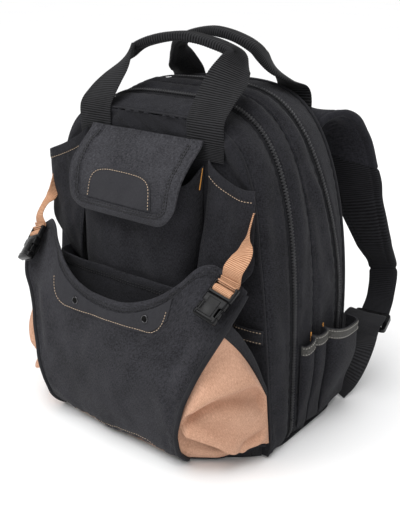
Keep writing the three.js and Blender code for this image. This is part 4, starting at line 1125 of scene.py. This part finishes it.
POUCH_HEIGHT, POUCH_HALF, POUCH_REACH, POUCH_FOOT = 236, 156, 91, 4
POUCH_ROWS = [
    (0.0, 0.615, 0.56, 0.56), (0.02, 0.64, 0.67, 0.7), (0.05, 0.655, 0.765, 0.81),
    (0.093, 0.652, 0.855, 0.885), (0.14, 0.655, 0.9, 0.92), (0.212, 0.668, 0.948, 0.962),
    (0.3, 0.7, 0.96, 0.985), (0.38, 0.725, 0.935, 0.995), (0.466, 0.77, 0.89, 0.985),
    (0.55, 0.815, 0.82, 0.955), (0.636, 0.875, 0.76, 0.9), (0.72, 0.94, 0.72, 0.845),
    (0.805, 0.985, 0.6, 0.8), (0.9, 1.0, 0.36, 0.74), (1.0, 1.0, 0.22, 0.68),
]
PATCH_SPREAD, PATCH_EDGE = 1.72, 84
POUCH_HEM_ROWS = (7.0, 10.2)
SCOOP_ROWS = [
    (0.0, 0.75), (0.15, 0.757), (0.3, 0.785), (0.45, 0.835), (0.58, 0.905), (0.68, 0.98), (0.77, 1.0),
    (0.87, 0.965), (1.0, 0.9),
]


def pouch_point(s, z):
    """A point of the pouch's front at a share across it and a height."""
    up = z / POUCH_HEIGHT
    side = 2 * s - 1
    x = side * POUCH_HALF * read_table(POUCH_ROWS, up, 1)
    reach = mix(read_table(POUCH_ROWS, up, 3), read_table(POUCH_ROWS, up, 2), np.abs(side) ** 3)
    return stack(x, FRONT_Y - POUCH_REACH * reach, z)


def scoop_height(s):
    """The height of the pouch's scooped upper edge."""
    return POUCH_HEIGHT * read_table(SCOOP_ROWS, np.abs(2 * s - 1), 1)


def pouch_share(s, z):
    """The share up the pouch's cloth that lies at a height."""
    return (z - POUCH_FOOT) / (scoop_height(s) - POUCH_FOOT)


def patch_share(across):
    """The pouch's share across at a place on its patch, which runs from -1 to 1."""
    return 0.5 + across * np.where(across < 0, 79, 75) / POUCH_HALF / PATCH_SPREAD


def pouch():
    def point(s, t):
        return pouch_point(s, mix(POUCH_FOOT, scoop_height(s), t))

    folds = [
        ((104, -190, 92), (90, -186, 26), 6, -2.2),
        ((84, -190, 104), (104, -188, 22), 8, 2.0),
        ((-100, -188, 52), (-56, -184, 14), 8, 1.8),
        ((-124, -172, 156), (-104, -188, 88), 8, -1.8),
        ((-108, -180, 160), (-92, -190, 96), 9, 1.5),
        ((100, -182, 168), (56, -188, 146), 8, 1.5),
        ((118, -172, 168), (92, -188, 116), 7, -1.8),
        ((-40, -190, 60), (30, -190, 44), 12, 1.2),
    ]

    def relief(s, t, p):
        drop = (1 - t) * (scoop_height(s) - POUCH_FOOT)
        hem = 1.0 * ease((9.5 - drop) / 1.2)
        for row in POUCH_HEM_ROWS:
            hem = hem + stitch_groove(drop, row, 0.6)
        edge = np.minimum(s, 1 - s) * 240
        inner = ease(edge / 12)
        gathers = puckers(edge - 4, p[..., 2], 12, 9, 0.6) + puckers(drop - 10, p[..., 0], 12, 8, 0.4)
        seam = stitch_groove(edge, 6.5, 0.6)
        foot = puckers(p[..., 2] - 3, p[..., 0], 16, 16, 0.7)
        slack = 2.2 * undulate(p, 70, 41) + 0.7 * undulate(p, 28, 43) + 1.3 * creases(p, folds)
        return slack * inner + hem + gathers + seam + foot

    skin = Skin(point, (0, -1, 0), relief)
    # The pouch's cloth is the lighter copy of the black canvas: painted light on its front.
    cloth("pouch_cloth", skin, 190, 150, CANVAS, POUCH_LIT_CLOTH, ["pouch_front"])
    for drop in POUCH_HEM_ROWS:
        sew_on_path(skin, "black", LINE * 0.98 + 0.01, 1 - drop / scoop_height(LINE), lift=0.3, **HEAVY_ROW)
    row_s = np.interp(LINE, np.linspace(0, 1, 9), [0.13, 0.2, 0.3, 0.42, 0.54, 0.66, 0.77, 0.83, 0.87])
    row_z = np.interp(LINE, np.linspace(0, 1, 9), [7.5, 10, 13, 16, 19, 21, 22, 16, 8])
    sew_on_path(skin, "tan", row_s, pouch_share(row_s, row_z), pitch=3.4, length=2.2, radius=0.36)
    for name, side in (("L", 0.0), ("R", 1.0)):
        t = np.linspace(0, 0.985, 180)
        line = skin.point(np.full(180, side), t)
        cord_tube(f"pouch_piping_{name}", line + np.array([0, 0.2, 0]), 2.9, BINDING_CLOTH)
        inset = side + (0.027 if side == 0 else -0.027)
        sew_on_path(skin, "black", np.full(180, inset), t, pitch=3.6, length=2.4, radius=0.36)

    # The patch under the scoop has a level foot with rounded corners.
    def patch(s, t):
        across = 2 * s - 1
        foot = 153 + 22 * np.abs(across) ** 7 - 3 * (1 - s)
        share = patch_share(across)
        top = scoop_height(share) - 12
        return skin.at(share, pouch_share(share, mix(foot, top, t)), 1.0)

    panel = Skin(patch, (0, -1, 0))
    cloth("pouch_patch_cloth", panel, 130, 30, 0.9, PATCH_CLOTH, ["pouch_patch"], rim=0.3)
    eyelets(panel)
    side = np.array([
        -0.965, -0.96, -0.95, -0.92, -0.86, -0.78, -0.6, 0, 0.6, 0.78, 0.86, 0.92, 0.95, 0.96, 0.965
    ])
    height = np.array([182, 172, 166, 160, 156, 153.5, 153, 154.5, 156, 156.5, 158, 162, 168, 174, 184])
    walk = np.concatenate([[0], np.cumsum(np.hypot(np.diff(side * PATCH_EDGE), np.diff(height)))])
    even = np.linspace(0, walk[-1], 200)
    share = patch_share(np.interp(even, walk, side))
    up = pouch_share(share, np.interp(even, walk, height))
    sew_on_path(skin, "tan", share, up, lift=1.5, **TAN_ROW)


def eyelets(panel):
    """A rolled metal ring set in the patch, and a near-black disc in its hole as painted shade."""
    for name, side in SIDES:
        s, t = np.array([0.5 + (-0.56 if side < 0 else 0.675) / 2]), np.array([0.5 if side < 0 else 0.62])
        middle, normal = panel.at(s, t, 0.4)[0], panel.normal(s, t)[0]
        turn = Vector(normal).to_track_quat("Z", "Y").to_matrix().to_4x4()
        matrix = Matrix.Translation(Vector(middle * MM)) @ turn
        ring = add_shape(
            bpy.ops.mesh.primitive_torus_add, major_radius=3.9 * MM, minor_radius=0.85 * MM,
            major_segments=40, minor_segments=14
        )
        ring.data.transform(matrix)
        finish_piece(ring, f"eyelet_{name}_ring", EYELET, [f"eyelet_{name}"])
        # A near-black disc in the ring's middle: painted shade for the hole.
        hole = add_shape(bpy.ops.mesh.primitive_cylinder_add, vertices=32, radius=3.5 * MM, depth=1.2 * MM)
        hole.data.transform(matrix)
        finish_piece(hole, f"eyelet_{name}_hole", HOLE_SHADE)


GUSSET_ROWS = [
    (0.0, 0.15, 0.0), (0.12, 0.7, 0.5), (0.26, 1.0, 0.25), (0.42, 0.9, 0.75), (0.6, 0.8, 0.2),
    (0.8, 0.45, 0.1), (1.0, 0.1, 0.0),
]
GUSSET_HEIGHT, GUSSET_BACK_HEIGHT, GUSSET_SWELL = 172, 80, 13
SLIT_ROWS = [(0.0, 0.33), (0.21, 0.31), (0.46, 0.25), (0.66, 0.15), (0.8, 0.02), (1.0, -0.3)]
RIDGE_ROWS = [(0.0, 0.38), (0.09, 0.52), (0.28, 0.7), (0.5, 0.84), (0.75, 0.97), (1.0, 1.08)]


def gusset_point(s, t, lift=0.0):
    """A point of the right gusset: s runs from the pouch to the body, and t from the foot up."""
    front_z = mix(POUCH_FOOT, GUSSET_HEIGHT, t) + lift
    front = pouch_point(np.ones_like(front_z), front_z)
    front = front + np.array([-1.5, CANVAS + SEAT + 0.5, 0])
    back_z = mix(FOOT, GUSSET_BACK_HEIGHT, t) + lift
    lift_curve = 9 * np.sin(np.pi * s) * ease((t - 0.75) / 0.25)
    back_x = half_width_at("front_seam", back_z) - 2
    back = stack(back_x, front_face(back_x, back_z) - SEAT - 0.5, back_z)
    p = mix(front, back, s[..., None])
    p[..., 2] += lift_curve
    p[..., 2] += 15 * ease((s - 0.35) / 0.55) * (1 - ease(t / 0.3))
    out = unit(stack(back[..., 1] - front[..., 1], -(back[..., 0] - front[..., 0]), 0))
    swell = GUSSET_SWELL * read_table(GUSSET_ROWS, t, 1) * np.sin(np.pi * np.clip(s, 0.0001, 0.9999)) ** 0.8
    ripple = 0.5 * np.sin(3 * np.pi * (t + 0.35 * s))
    crease = GUSSET_SWELL * read_table(GUSSET_ROWS, t, 2) * np.sin(np.pi * s) * ripple
    return p + out * (swell + crease)[..., None]


def gussets():
    for name, side in SIDES:
        def under(s):
            return np.maximum(read_table(SLIT_ROWS, s, 1), 0)

        def upper(s, t):
            return mirrored(gusset_point, side)(s, mix(under(s), 1, t))

        def relief(s, t, p):
            t = mix(under(s), 1, t)
            length = 166 - 90 * s
            edge = np.minimum(np.minimum(s, 1 - s) * 85, (1 - t) * length)
            above = (t - read_table(RIDGE_ROWS, s, 1)) * length
            ridge = 12 * np.where(above > 0, np.exp(-((above / 28) ** 2)), np.exp(-((above / 6) ** 2)))
            valley = -9 * np.exp(-(((above + 15) / 10) ** 2))
            slit = (t - under(s)) * length
            lip = 9.5 * np.exp(-((slit / 14) ** 2)) * ease((0.85 - s) / 0.3)
            foot = -5 * near(s, 0.6, 0.2) * near(t * length, 0, 20)
            corner = (t - (0.14 + 0.75 * (s - 0.66))) * length
            gather = np.where(s > 0.6, 4.0 * near(corner, 0, 4.5) - 4.0 * near(corner, 9, 5), 0)
            gather = gather * ease((s - 0.6) / 0.12)
            body = ridge + valley + lip + gather + 1.2 * undulate(p, 42, 51)
            return body * ease(edge / 9) + foot

        skin = Skin(upper, (side, -0.4, 0), relief)
        piece = cloth(
            f"pouch_gusset_{name}_cloth", skin, 110, 120, 1.4, TAN_CLOTH, [f"pouch_gusset_{name}"],
        )

        def lower(s, t):
            s = 0.86 * s
            return mirrored(gusset_point, side)(s, mix(0, under(s) + 0.07, t))

        def tucked(s, t, p):
            return -mix(0.5, 24, ease(t)) * ease(s * 73 / 6)

        fold = Skin(lower, (side, -0.4, 0), tucked)
        hidden = cloth(f"pouch_gusset_{name}_fold", fold, 60, 40, 1.2, TAN_CLOTH)
        flat, area = lay_flat(skin)
        fold_area = lay_flat(fold)[1]

        def strip(s, t, side=side):
            p = gusset_point(t, np.ones_like(t), mix(0.3, 12.5, s))
            p[..., 0] = p[..., 0] * side
            return p

        def rolled(s, t, p):
            return 1.0 * (1 - (2 * s - 1) ** 4) + 0.2 + 0.5 * undulate(p, 30, 9)

        tape = Skin(strip, (side, -0.4, 0), rolled)
        cloth(
            f"gusset_binding_{name}_cloth", tape, 16, 70, 2.4, BINDING_CLOTH,
            [f"gusset_binding_{name}"]
        )
        sew_on(
            tape, "black", np.full(20, 0.2), np.linspace(0.02, 0.98, 20), pitch=3.4, length=2.3,
            radius=0.36
        )

        def hanging(s, t):
            p = mirrored(gusset_point, side)(s, np.zeros_like(s))
            p[..., 2] = mix(1.6, p[..., 2] + 5, t)
            p[..., 0] -= side * 4.5 * ease(s / 0.12)
            return p

        inside = Skin(hanging, (side, -0.4, 0), lambda s, t, p: 0.6 * undulate(p, 26, 17))
        cloth(f"gusset_foot_{name}", inside, 70, 10, 1.6, BINDING_CLOTH)
        inner = fold.at(np.linspace(0, 0.8, 70), np.zeros(70))
        foot = np.concatenate([inner, skin.at(np.linspace(0.72, 1, 40), np.zeros(40))])
        cord_tube(f"gusset_piping_{name}", foot + np.array([0, 0, 0.4]), 2.4, BINDING_CLOTH)


def tool_bands():
    for name, side in SIDES:
        def point(s, t, side=side):
            x = mix(85, 157, s)
            z = mix(141, 157, t)
            out = mix(9, 3, ease((s - 0.4) / 0.3)) * np.abs(np.sin(2 * np.pi * s)) ** 0.7
            return stack(side * x, front_face(x, z) - SEAT - CANVAS - out, z)

        skin = Skin(point, (0, -1, 0), lambda s, t, p: 0.3 - 0.5 * near(t, 0.5, 0.28))
        cloth(
            f"tool_band_{name}_cloth", skin, 72, 14, CANVAS, BINDING_CLOTH, [f"tool_band_{name}"],
        )
        for height in (0.13, 0.87):
            line = np.linspace(0.5, 0.98, 60)
            sew_on(skin, "tan", line, np.full(60, height), **TAN_ROW)


# Buckles and tan straps


def pouch_frame(across, z, lean):
    """A place on the pouch's front, with its right, leaning up and outward directions."""
    share = 0.5 + across / 2

    def at(s, h):
        return pouch_point(np.array([s]), np.array([h]))[0]

    right = unit(at(share + 0.01, z) - at(share - 0.01, z))
    up = at(share, z + 2) - at(share, z - 2)
    up = unit(up - right * (up @ right))
    out = np.cross(right, up)
    y = up * math.cos(lean) + right * math.sin(lean)
    return at(share, z), np.cross(y, out), y, out


BUCKLE_ACROSS, BUCKLE_UP, BUCKLE_LEAN = 0.86, 0.873, math.radians(25)
BUCKLE_LIFT, TAB_THICKNESS, BUCKLE_DEPTH, BUCKLE_TOTAL = 3.4, 1.6, 9, 43
BUCKLE_TURN, BUCKLE_TURN_LEFT, BUCKLE_TILT = math.radians(-14), math.radians(3), math.radians(-8)


def buckle_frame(side):
    """The middle of a buckle and its three directions, before the left one is mirrored."""
    centre, x, y, out = pouch_frame(BUCKLE_ACROSS, BUCKLE_UP * POUCH_HEIGHT, BUCKLE_LEAN)
    origin = centre + out * (BUCKLE_LIFT + TAB_THICKNESS + 0.6 + BUCKLE_DEPTH / 2) + out * 5 - x * 1
    origin = origin - np.array([0, 0, 8])
    turn = BUCKLE_TURN if side > 0 else BUCKLE_TURN_LEFT
    turned = x * math.cos(turn) - out * math.sin(turn)
    face = np.cross(turned, y)
    along = y * math.cos(BUCKLE_TILT) + face * math.sin(BUCKLE_TILT)
    return origin, turned, along, np.cross(turned, along)


TAN_ROUTE = [
    (0.968, 0.099, 1.217, 0.0), (0.96, 0.165, 1.151, 0.1), (0.96, 0.225, 1.093, 0.45),
    (0.982, 0.33, 1.053, 0.85), (0.968, 0.47, 0.999, 1.0),
]


def tan_ribs(length):
    """The relief of a tan webbing of this length, with a rib every 1.5 mm."""
    return lambda a, t, p: 0.09 * np.sin(t * length / 1.5 * 2 * np.pi)


def tan_straps():
    half = BUCKLE_TOTAL / 2
    for name, side in SIDES:
        origin, x, y, out = buckle_frame(side)
        flip = np.array([side, 1, 1])
        across = x * flip
        anchor = np.array([0.5, -0.8, 0.3]) if side > 0 else np.array([-0.1, -0.95, 0.2])
        rows = []
        for share, reach, up, turn in TAN_ROUTE:
            place = (side * share * WING_OUTER, FRONT_Y - reach * POUCH_REACH, up * POUCH_HEIGHT)
            width = mix(15, TAN_WIDTH, turn) - 6 * (side < 0)
            rows.append((place, mix(anchor, across, turn), width, WEBBING))
        top = (origin + y * (half + 3)) * flip
        rows.append((top, across, TAN_WIDTH, WEBBING))
        slot = (origin + y * (half - 4) - out * 1.5) * flip
        rows.append((slot, across, TAN_WIDTH, WEBBING))
        route = Route(rows, -out * flip)
        ribs = tan_ribs(route.length)
        strap(
            f"tan_strap_{name}_webbing", route, 24, 300, TAN_WEB, ribs, [f"tan_strap_{name}"],
        )
        # The sewn tail lies on the strap, and the end wraps the middle bar in the slot.
        shares = np.array([0.78, 0.83, 0.88, 0.93])
        start = route.centre(shares) - route.frame(shares)[2] * 2.0
        tail_rows = [(p, across, TAN_WIDTH, WEBBING) for p in start]
        tail_rows.append(((origin + y * (half + 0.5) + out * 3.4) * flip, across, TAN_WIDTH, WEBBING))
        tail = Route(tail_rows, -out * flip)
        strap(f"tan_tail_{name}", tail, 24, 110, TAN_WEB, tan_ribs(tail.length))
        wrap_rows = []
        for turn in np.linspace(-100, 100, 9):
            angle = math.radians(turn)
            place = origin + y * (half - 8.5 + 4.2 * math.sin(angle)) + out * (0.4 + 3.4 * math.cos(angle))
            wrap_rows.append((place * flip, across, TAN_WIDTH, 1.6))
        wrap = Route(wrap_rows, -out * flip)
        strap(f"tan_wrap_{name}", wrap, 24, 90, TAN_WEB, tan_ribs(wrap.length))
        for t in (0.5, 0.8):
            centre = tail.centre(np.array([t]))[0]
            normal = -tail.frame(np.array([t]))[2][0]
            line = np.linspace(centre - across * 8.5, centre + across * 8.5, 20) + normal * 1.3
            sew("brown", line, np.tile(normal, (20, 1)), pitch=3.6, length=1.8, radius=0.5)


def buckles():
    half = BUCKLE_TOTAL / 2
    for name, side in SIDES:
        origin, x, y, out = buckle_frame(side)
        matrix = place_matrix(origin, x, y, out, side)
        low = -half + 13.5
        body = rounded_block((28, 27, 8.6), (0, low, 0), 2.2, 4)
        windows = [rounded_block((8.5, 11, 14), (s * 13.2, low - 1.5, 0), 2.0) for s in (-1, 1)]
        mouth = rounded_block((22, 6, 5), (0, low + 13, 0), 0.8)
        cut_away(body, *windows, mouth)
        soften(body, 0.45, 2)
        panel = rounded_block((14.5, 19, 1.4), (0, low + 0.5, 4.3), 0.6)
        rim = rounded_block((24, 5.5, 9.6), (0, low - 10.2, 0), 2.4, 4)
        join_up(
            f"buckle_socket_{name}_body", [body, panel, rim], matrix, PLASTIC,
            [f"buckle_socket_{name}"]
        )
        high = half - 8
        ladder = rounded_block((30, 17, 6.4), (0, high, 0), 1.8, 3)
        cut_away(ladder, rounded_block((24.6, 10.5, 14), (0, high + 0.5, 0), 1.2))
        soften(ladder, 0.4, 2)
        bar = rounded_block((26, 2.4, 3), (0, high + 0.2, 0), 0.9)
        prongs = [rounded_block((3.2, 15, 4.6), (s * 11.2, low - 0.5, 0), 1.2) for s in (-1, 1)]
        grips = [rounded_block((2.2, 7, 6.2), (s * 12.8, low - 2.5, 0), 0.9) for s in (-1, 1)]
        pieces = [ladder, bar, *prongs, *grips]
        join_up(
            f"buckle_clip_{name}_frame", pieces, matrix, PLASTIC, [f"buckle_clip_{name}"],
        )


def buckle_tabs():
    """A short webbing that is sewn to the pouch and holds the socket's foot."""
    for name, side in SIDES:
        origin, x, y, out = buckle_frame(side)
        flip = np.array([side, 1, 1])
        rows = []
        for along, back in ((2, -7.5), (-8, -7), (-15, -6.2), (-20.5, -4.5)):
            rows.append(((origin + y * along + out * back) * flip, x * flip, 19, 1.5))
        strap(
            f"buckle_tab_{name}_webbing", Route(rows, -out * flip), 20, 60, SMOOTH_WEB, None,
            [f"buckle_tab_{name}"]
        )


def underside():
    """The canvas base and the pouch's floor, cut to the outlines of the body."""
    for name, material, inset, thickness in (
        ("base", CANVAS_CLOTH, 0.2, 2.2), ("pouch_floor", TAN_CLOTH, 1.0, 1.4)
    ):
        places = np.array([v.co[:] for v in frame["nodes"][name].data.vertices]) / MM
        low, high = places.min(0), places.max(0)
        middle, half = (low + high) / 2, (high - low) / 2 - inset

        def point(s, t, middle=middle, half=half, name=name):
            along = 2 * t - 1
            width = np.maximum((1 - np.abs(along) ** 9) ** 0.3, 0.86)
            width = width * mix(0.62, 0.95, t) if name == "pouch_floor" else width
            x = middle[0] + half[0] * (2 * s - 1) * width
            return stack(x, middle[1] + half[1] * along, np.full(np.shape(x), middle[2] + thickness / 2))

        skin = Skin(point, (0, 0, 1), lambda s, t, p: 0.15 * undulate(p, 50, 3))
        cloth(f"{name}_cloth", skin, 40, 24, thickness, material, [name], rim=0.4)


# Side pockets

SIDE_POCKETS = [
    ("side_loop_front", 0.33, 0.435, 11, 121, 128, 26),
    ("side_loop_rear", 0.445, 0.58, 12.65, 128, 130, 26),
    ("side_pocket", 0.605, 0.985, 24, 128, 120, 44),
]


def side_pockets():
    for pocket, start, end, reach, rim, back, across in SIDE_POCKETS:
        for name, side in SIDES:
            def point(s, t, side=side, start=start, end=end, reach=reach, rim=rim, back=back):
                share = 0.5 - 0.5 * np.cos(np.pi * s)
                y = FRONT_Y + DEPTH * mix(start, end, share)
                z = mix(14, mix(rim, back, share), t)
                depth = (reach - CANVAS) * gusseted(share, 3) * mix(0.1, 1, ease(t / 0.7))
                return stack(side * (side_face(y, z) + CANVAS + depth), y, z)

            def relief(s, t, p):
                return 0.5 * undulate(p, 30, 61) * ease(8 * s * (1 - s)) + 0.7 * ease((t - 0.885) / 0.012)

            skin = Skin(point, (side, 0, 0), relief)
            cloth(
                f"{pocket}_{name}_cloth", skin, across, 60, CANVAS, CANVAS_CLOTH, [f"{pocket}_{name}"],
            )

            def tape(s, t, skin=skin):
                return skin.at(mix(0.02, 0.98, s), mix(0.89, 0.998, t), 0.35)

            hem = Skin(tape, (side, 0, 0), lambda s, t, p: 0.25 * np.sin(np.pi * t))
            cloth(f"{pocket}_{name}_hem", hem, across, 8, 0.7, LEATHERETTE, (), rim=0.2)
            for height in (0.15, 0.82):
                sew_on(
                    hem, "pale", np.linspace(0.03, 0.97, 60), np.full(60, height), pitch=3.0,
                    length=2.1, radius=0.42
                )
    for side in (-1, 1):
        for y, z in ((-33.5, 130), (-8, 132)):
            x = side * (float(side_face(np.array(y), np.array(z))) + 3.5)
            points = np.linspace([x, y, z - 9], [x, y, z + 2], 20)
            sew("orange", points, np.tile([side, -0.2, 0.1], (20, 1)), pitch=1.1, length=2.6, radius=0.75)


# Handles

FRONT_HANDLE = [
    (1.0, 0.0, -0.8, 0, 0), (1.0, 0.0, -0.56, 0, 0), (1.0, 0.0, -0.2, 0, 0), (0.995, 0.08, 0.04, 0, 8),
    (0.985, 0.2, 0.3, 0.05, 24), (0.975, 0.31, 0.54, 0.4, 52), (0.945, 0.375, 0.69, 0.9, 78),
    (0.84, 0.385, 0.77, 1, 86), (0.45, 0.39, 0.9, 1, 88), (0.0, 0.39, 0.96, 1, 90),
]
REAR_HANDLE = [
    (1.0, 0.0, -0.94, 0, 0), (1.0, 0.0, -0.5, 0, 0), (0.985, 0.0, -0.02, 0.02, -4),
    (0.93, -0.06, 0.17, 0.15, -30), (0.875, -0.16, 0.37, 0.45, -58), (0.82, -0.24, 0.58, 0.9, -80),
    (0.73, -0.275, 0.74, 1, -86), (0.4, -0.3, 0.92, 1, -88), (0.0, -0.3, 0.99, 1, -90),
]
HANDLE_SPREAD, HANDLE_WEB, HANDLE_RISE = 79, 48, 68


def handles():
    inner = HANDLE_SPREAD - HANDLE_WEB / 2
    seam = HEIGHT * 0.963
    for name, rows, seat, out in (
        ("handle_front", FRONT_HANDLE, lambda z: float(front_face(np.array(inner), np.array(z))), -1),
        ("handle_rear", REAR_HANDLE, lambda z: float(back_face(np.array(z))), 1),
    ):
        half = []
        for share, depth, up, grip, face in rows:
            z = HEIGHT + up * HANDLE_RISE
            place = seat(min(z, seam)) + out * (SEAT + WEBBING) + depth * DEPTH
            turn = math.radians(face)
            half.append((
                share * HANDLE_SPREAD, place, z, turn, mix(HANDLE_WEB, 21, grip), mix(WEBBING, 10, grip)
            ))
        full = [((x, y, z), (math.cos(turn), math.sin(turn), 0), w, th) for x, y, z, turn, w, th in half]
        full[-1] = (full[-1][0], (0, np.sign(half[-1][3]), 0), *full[-1][2:])
        for x, y, z, turn, w, th in half[-2::-1]:
            full.append(((-x, y, z), (-math.cos(turn), math.sin(turn), 0), w, th))
        route = Route(full, (0, 0, -1))

        def relief(a, t, p, length=route.length):
            wave = 0.2 * np.sin((t * length + 2.0 * np.abs(np.sin(a * 2))) / 2.4 * 2 * np.pi)
            return wave + 0.5 * undulate(p, 34, 81)

        strap(f"{name}_webbing", route, 26, 700, BLACK_WEB, relief, [name])


# Shoulder straps

STRAP_ROUTE = [
    (0.44, 0.075, 0.755, 1.0, 0.5), (0.455, 0.106, 0.845, 1.0, 0.8), (0.51, 0.15, 0.893, 1.0, 1.0),
    (0.6, 0.34, 0.888, 1.0, 1.0), (0.66, 0.49, 0.828, 1.0, 1.0), (0.72, 0.56, 0.73, 1.0, 1.0),
    (0.77, 0.61, 0.635, 0.94, 1.0), (0.86, 0.8, 0.47, 0.72, 1.0), (0.91, 0.93, 0.385, 0.56, 0.9),
    (0.945, 0.82, 0.3, 0.54, 0.5), (0.977, 0.6, 0.262, 0.56, 0.35),
]
LOWER_ROUTE = [
    (0.83, 0.047, 0.022, (1, 0, 0)), (0.87, 0.15, 0.064, (0.95, 0.3, 0.03)),
    (0.938, 0.27, 0.165, (0.8, 0.58, 0.1)), (0.955, 0.255, 0.224, (0.95, 0.26, 0.03)),
    (0.966, 0.32, 0.263, (0.97, 0.16, 0)), (0.977, 0.433, 0.275, (0.98, 0.14, 0)),
]
STRAP_SPREAD, STRAP_BOW, STRAP_WIDTH, STRAP_PAD = 178, 104, 66, 12
YOKE_END, YOKE_SLANT = 0.47, 0.45


def strap_place(x, back, up, side):
    return np.array([side * x * STRAP_SPREAD, BACK_Y + back * STRAP_BOW, up * HEIGHT])


def shoulder_straps():
    for name, side in SIDES:
        rows = []
        for x, back, up, width, pad in STRAP_ROUTE:
            place = strap_place(x, back, up, side)
            rows.append((place, (1, 0.1 * side, 0), width * STRAP_WIDTH, pad * STRAP_PAD))
        route = Route(rows, (0, 1, 0))

        def relief(angle, t, p, route=route, side=side):
            width = read_table(route.rows, t, 4)
            across = np.sum((p - route.centre(t)) * route.frame(t)[1], -1)
            edge = width / 2 - np.abs(across)
            along = t * route.length
            piping = 1.0 * near(edge, 2.5, 2.6) * ease((0.78 - t) / 0.04)
            seams = stitch_groove(edge, 8, 1.3, 1.4) * ease((0.8 - t) / 0.04)
            yoke = ease((YOKE_END - t) / 0.01)
            slant = stitch_groove(along - 150 - across * side * 1.1, 0, 1.2, 1.3)
            back_slant = stitch_groove(along - 118 + across * side * 0.9, 0, 1.1, 1.3)
            cut = stitch_groove(along - YOKE_END * route.length - across * side * YOKE_SLANT, 0, 1.6, 1.6)
            turned = stitch_groove(along - 0.805 * route.length, 0, 1.8, 2.2)
            ribs = 0.14 * np.sin((along + across * side * YOKE_SLANT) / 2.6 * 2 * np.pi)
            ribs = ribs * (1 - yoke) * ease((edge - 4) / 3)
            seams = seams + (slant + back_slant) * yoke + cut + turned
            return piping + seams + ribs + 0.9 * undulate(p, 36, 71)

        pad = strap(
            f"shoulder_strap_{name}_pad", route, 76, 300, STRAP_CLOTH, relief, [f"shoulder_strap_{name}"],
            square=0.6
        )
        pad.data.materials.append(STRAP_MESH)
        points = np.array([p.center[:] for p in pad.data.polygons]) / MM
        line = route.centre(np.linspace(0, 1, 300))
        nearest = np.array([np.argmin(((line - q) ** 2).sum(1)) for q in points]) / 299
        across = (points - line[(nearest * 299).astype(int)]) @ np.array([1, 0.1 * side, 0])
        lower = nearest * route.length > YOKE_END * route.length + across * side * YOKE_SLANT
        pad.data.polygons.foreach_set("material_index", lower.astype(np.int32))
        last, end = (strap_place(*STRAP_ROUTE[k][:3], side) for k in (-2, -1))
        across = unit(np.array([1, 0.1 * side, 0]))
        run = end - last
        run = unit(run - across * (run @ across))
        out = np.cross(across, run)
        centre = end + run * 14
        web = []
        for x, back, up, turn in LOWER_ROUTE:
            direction = (turn[0], turn[1] * side, turn[2] * side)
            web.append((strap_place(x, back, up, side), direction, 50, WEBBING))
        mouth = centre - run * 6.2 - out * (3 + 0.3 + WEBBING * 0.6)
        web.append((mouth, (1, 0.1 * side, 0), 36, WEBBING))
        lower = Route(web, (0, 1, -0.4))

        def ribs(a, t, p, length=lower.length):
            return 0.05 * np.sin(t * length / 1.9 * 2 * np.pi) + 0.5 * undulate(p, 60, 73)

        strap(
            f"lower_webbing_{name}_web", lower, 30, 200, SMOOTH_WEB, ribs, [f"lower_webbing_{name}"],
        )


# Carried-over solids and the set


def dress_frame():
    """Gives the solids that are shown as they are their own materials."""
    finishes = {"adjuster": PLASTIC, "zip_slider": SLIDER}
    for node, obj in frame["nodes"].items():
        for start, material in finishes.items():
            if node.startswith(start):
                for slot in obj.material_slots:
                    slot.material = material


def studio():
    bpy.ops.mesh.primitive_plane_add(size=80)
    floor = bpy.context.object
    floor.name = "floor"
    m = Nodes("pale_floor")
    place = m.coord("Object")
    slow = m.noise(place, 2.0)
    m.link(m.ramp(slow, 0.3, 0.7, (0.93, 0.93, 0.935), (0.95, 0.95, 0.95)), "Base Color")
    m.set("Roughness", 0.6)
    floor.data.materials.append(m.material)
    world = bpy.data.worlds.new("studio") if bpy.context.scene.world is None else bpy.context.scene.world
    bpy.context.scene.world = world
    world.use_nodes = True
    world.node_tree.nodes["Background"].inputs[0].default_value = (1, 1, 1, 1)
    world.node_tree.nodes["Background"].inputs[1].default_value = 0.34
    sun = bpy.data.lights.new("overhead", "SUN")
    sun.energy = 2.8
    sun.angle = math.radians(60)
    lamp = bpy.data.objects.new("overhead", sun)
    lamp.rotation_euler = Vector((0.12, 0.6, -1.6)).to_track_quat("-Z", "Y").to_euler()
    bpy.context.collection.objects.link(lamp)
    for name, place, size, power, aim in [
        ("softbox", (-0.8, -1.3, 1.5), 0.7, 5, (0, -0.05, 0.2)),
        ("right", (1.7, -0.9, 1.0), 0.9, 5, (0, 0, 0.2)),
        ("behind", (0.3, 1.9, 1.0), 1.2, 9, (0, 0, 0.2)),
    ]:
        light = bpy.data.lights.new(name, "AREA")
        light.size = size
        light.energy = power
        lamp = bpy.data.objects.new(name, light)
        lamp.location = place
        lamp.rotation_euler = (Vector(aim) - Vector(place)).to_track_quat("-Z", "Y").to_euler()
        bpy.context.collection.objects.link(lamp)


def camera():
    azimuth, elevation = math.radians(38.48), math.radians(21.217)
    sa, ca, se, ce = math.sin(azimuth), math.cos(azimuth), math.sin(elevation), math.cos(elevation)
    right, up, back = (ca, sa, 0), (-se * sa, se * ca, ce), (sa * ce, -ca * ce, se)
    data = bpy.data.cameras.new("camera")
    data.lens = 53.71
    data.sensor_width = 36
    obj = bpy.data.objects.new("camera", data)
    turn = Matrix((right, up, back)).transposed().to_4x4()
    obj.matrix_world = Matrix.Translation((0.56119, -0.72386, 0.52294)) @ turn
    bpy.context.collection.objects.link(obj)
    bpy.context.scene.camera = obj


bpy.context.scene.view_settings.view_transform = "Standard"
camera()
front_panel()
bands()
zips()
seam_piping()
back_panel()
front_pockets()
flap()
wings()
pouch()
gussets()
tool_bands()
tan_straps()
buckles()
buckle_tabs()
underside()
side_pockets()
handles()
shoulder_straps()
for thread, material in THREADS.items():
    if thread in stitches:
        make_stitches(f"{thread}_stitches", thread, material)
make_stitches("zip_coils", "coil", ZIP_COIL)
dress_frame()
studio()
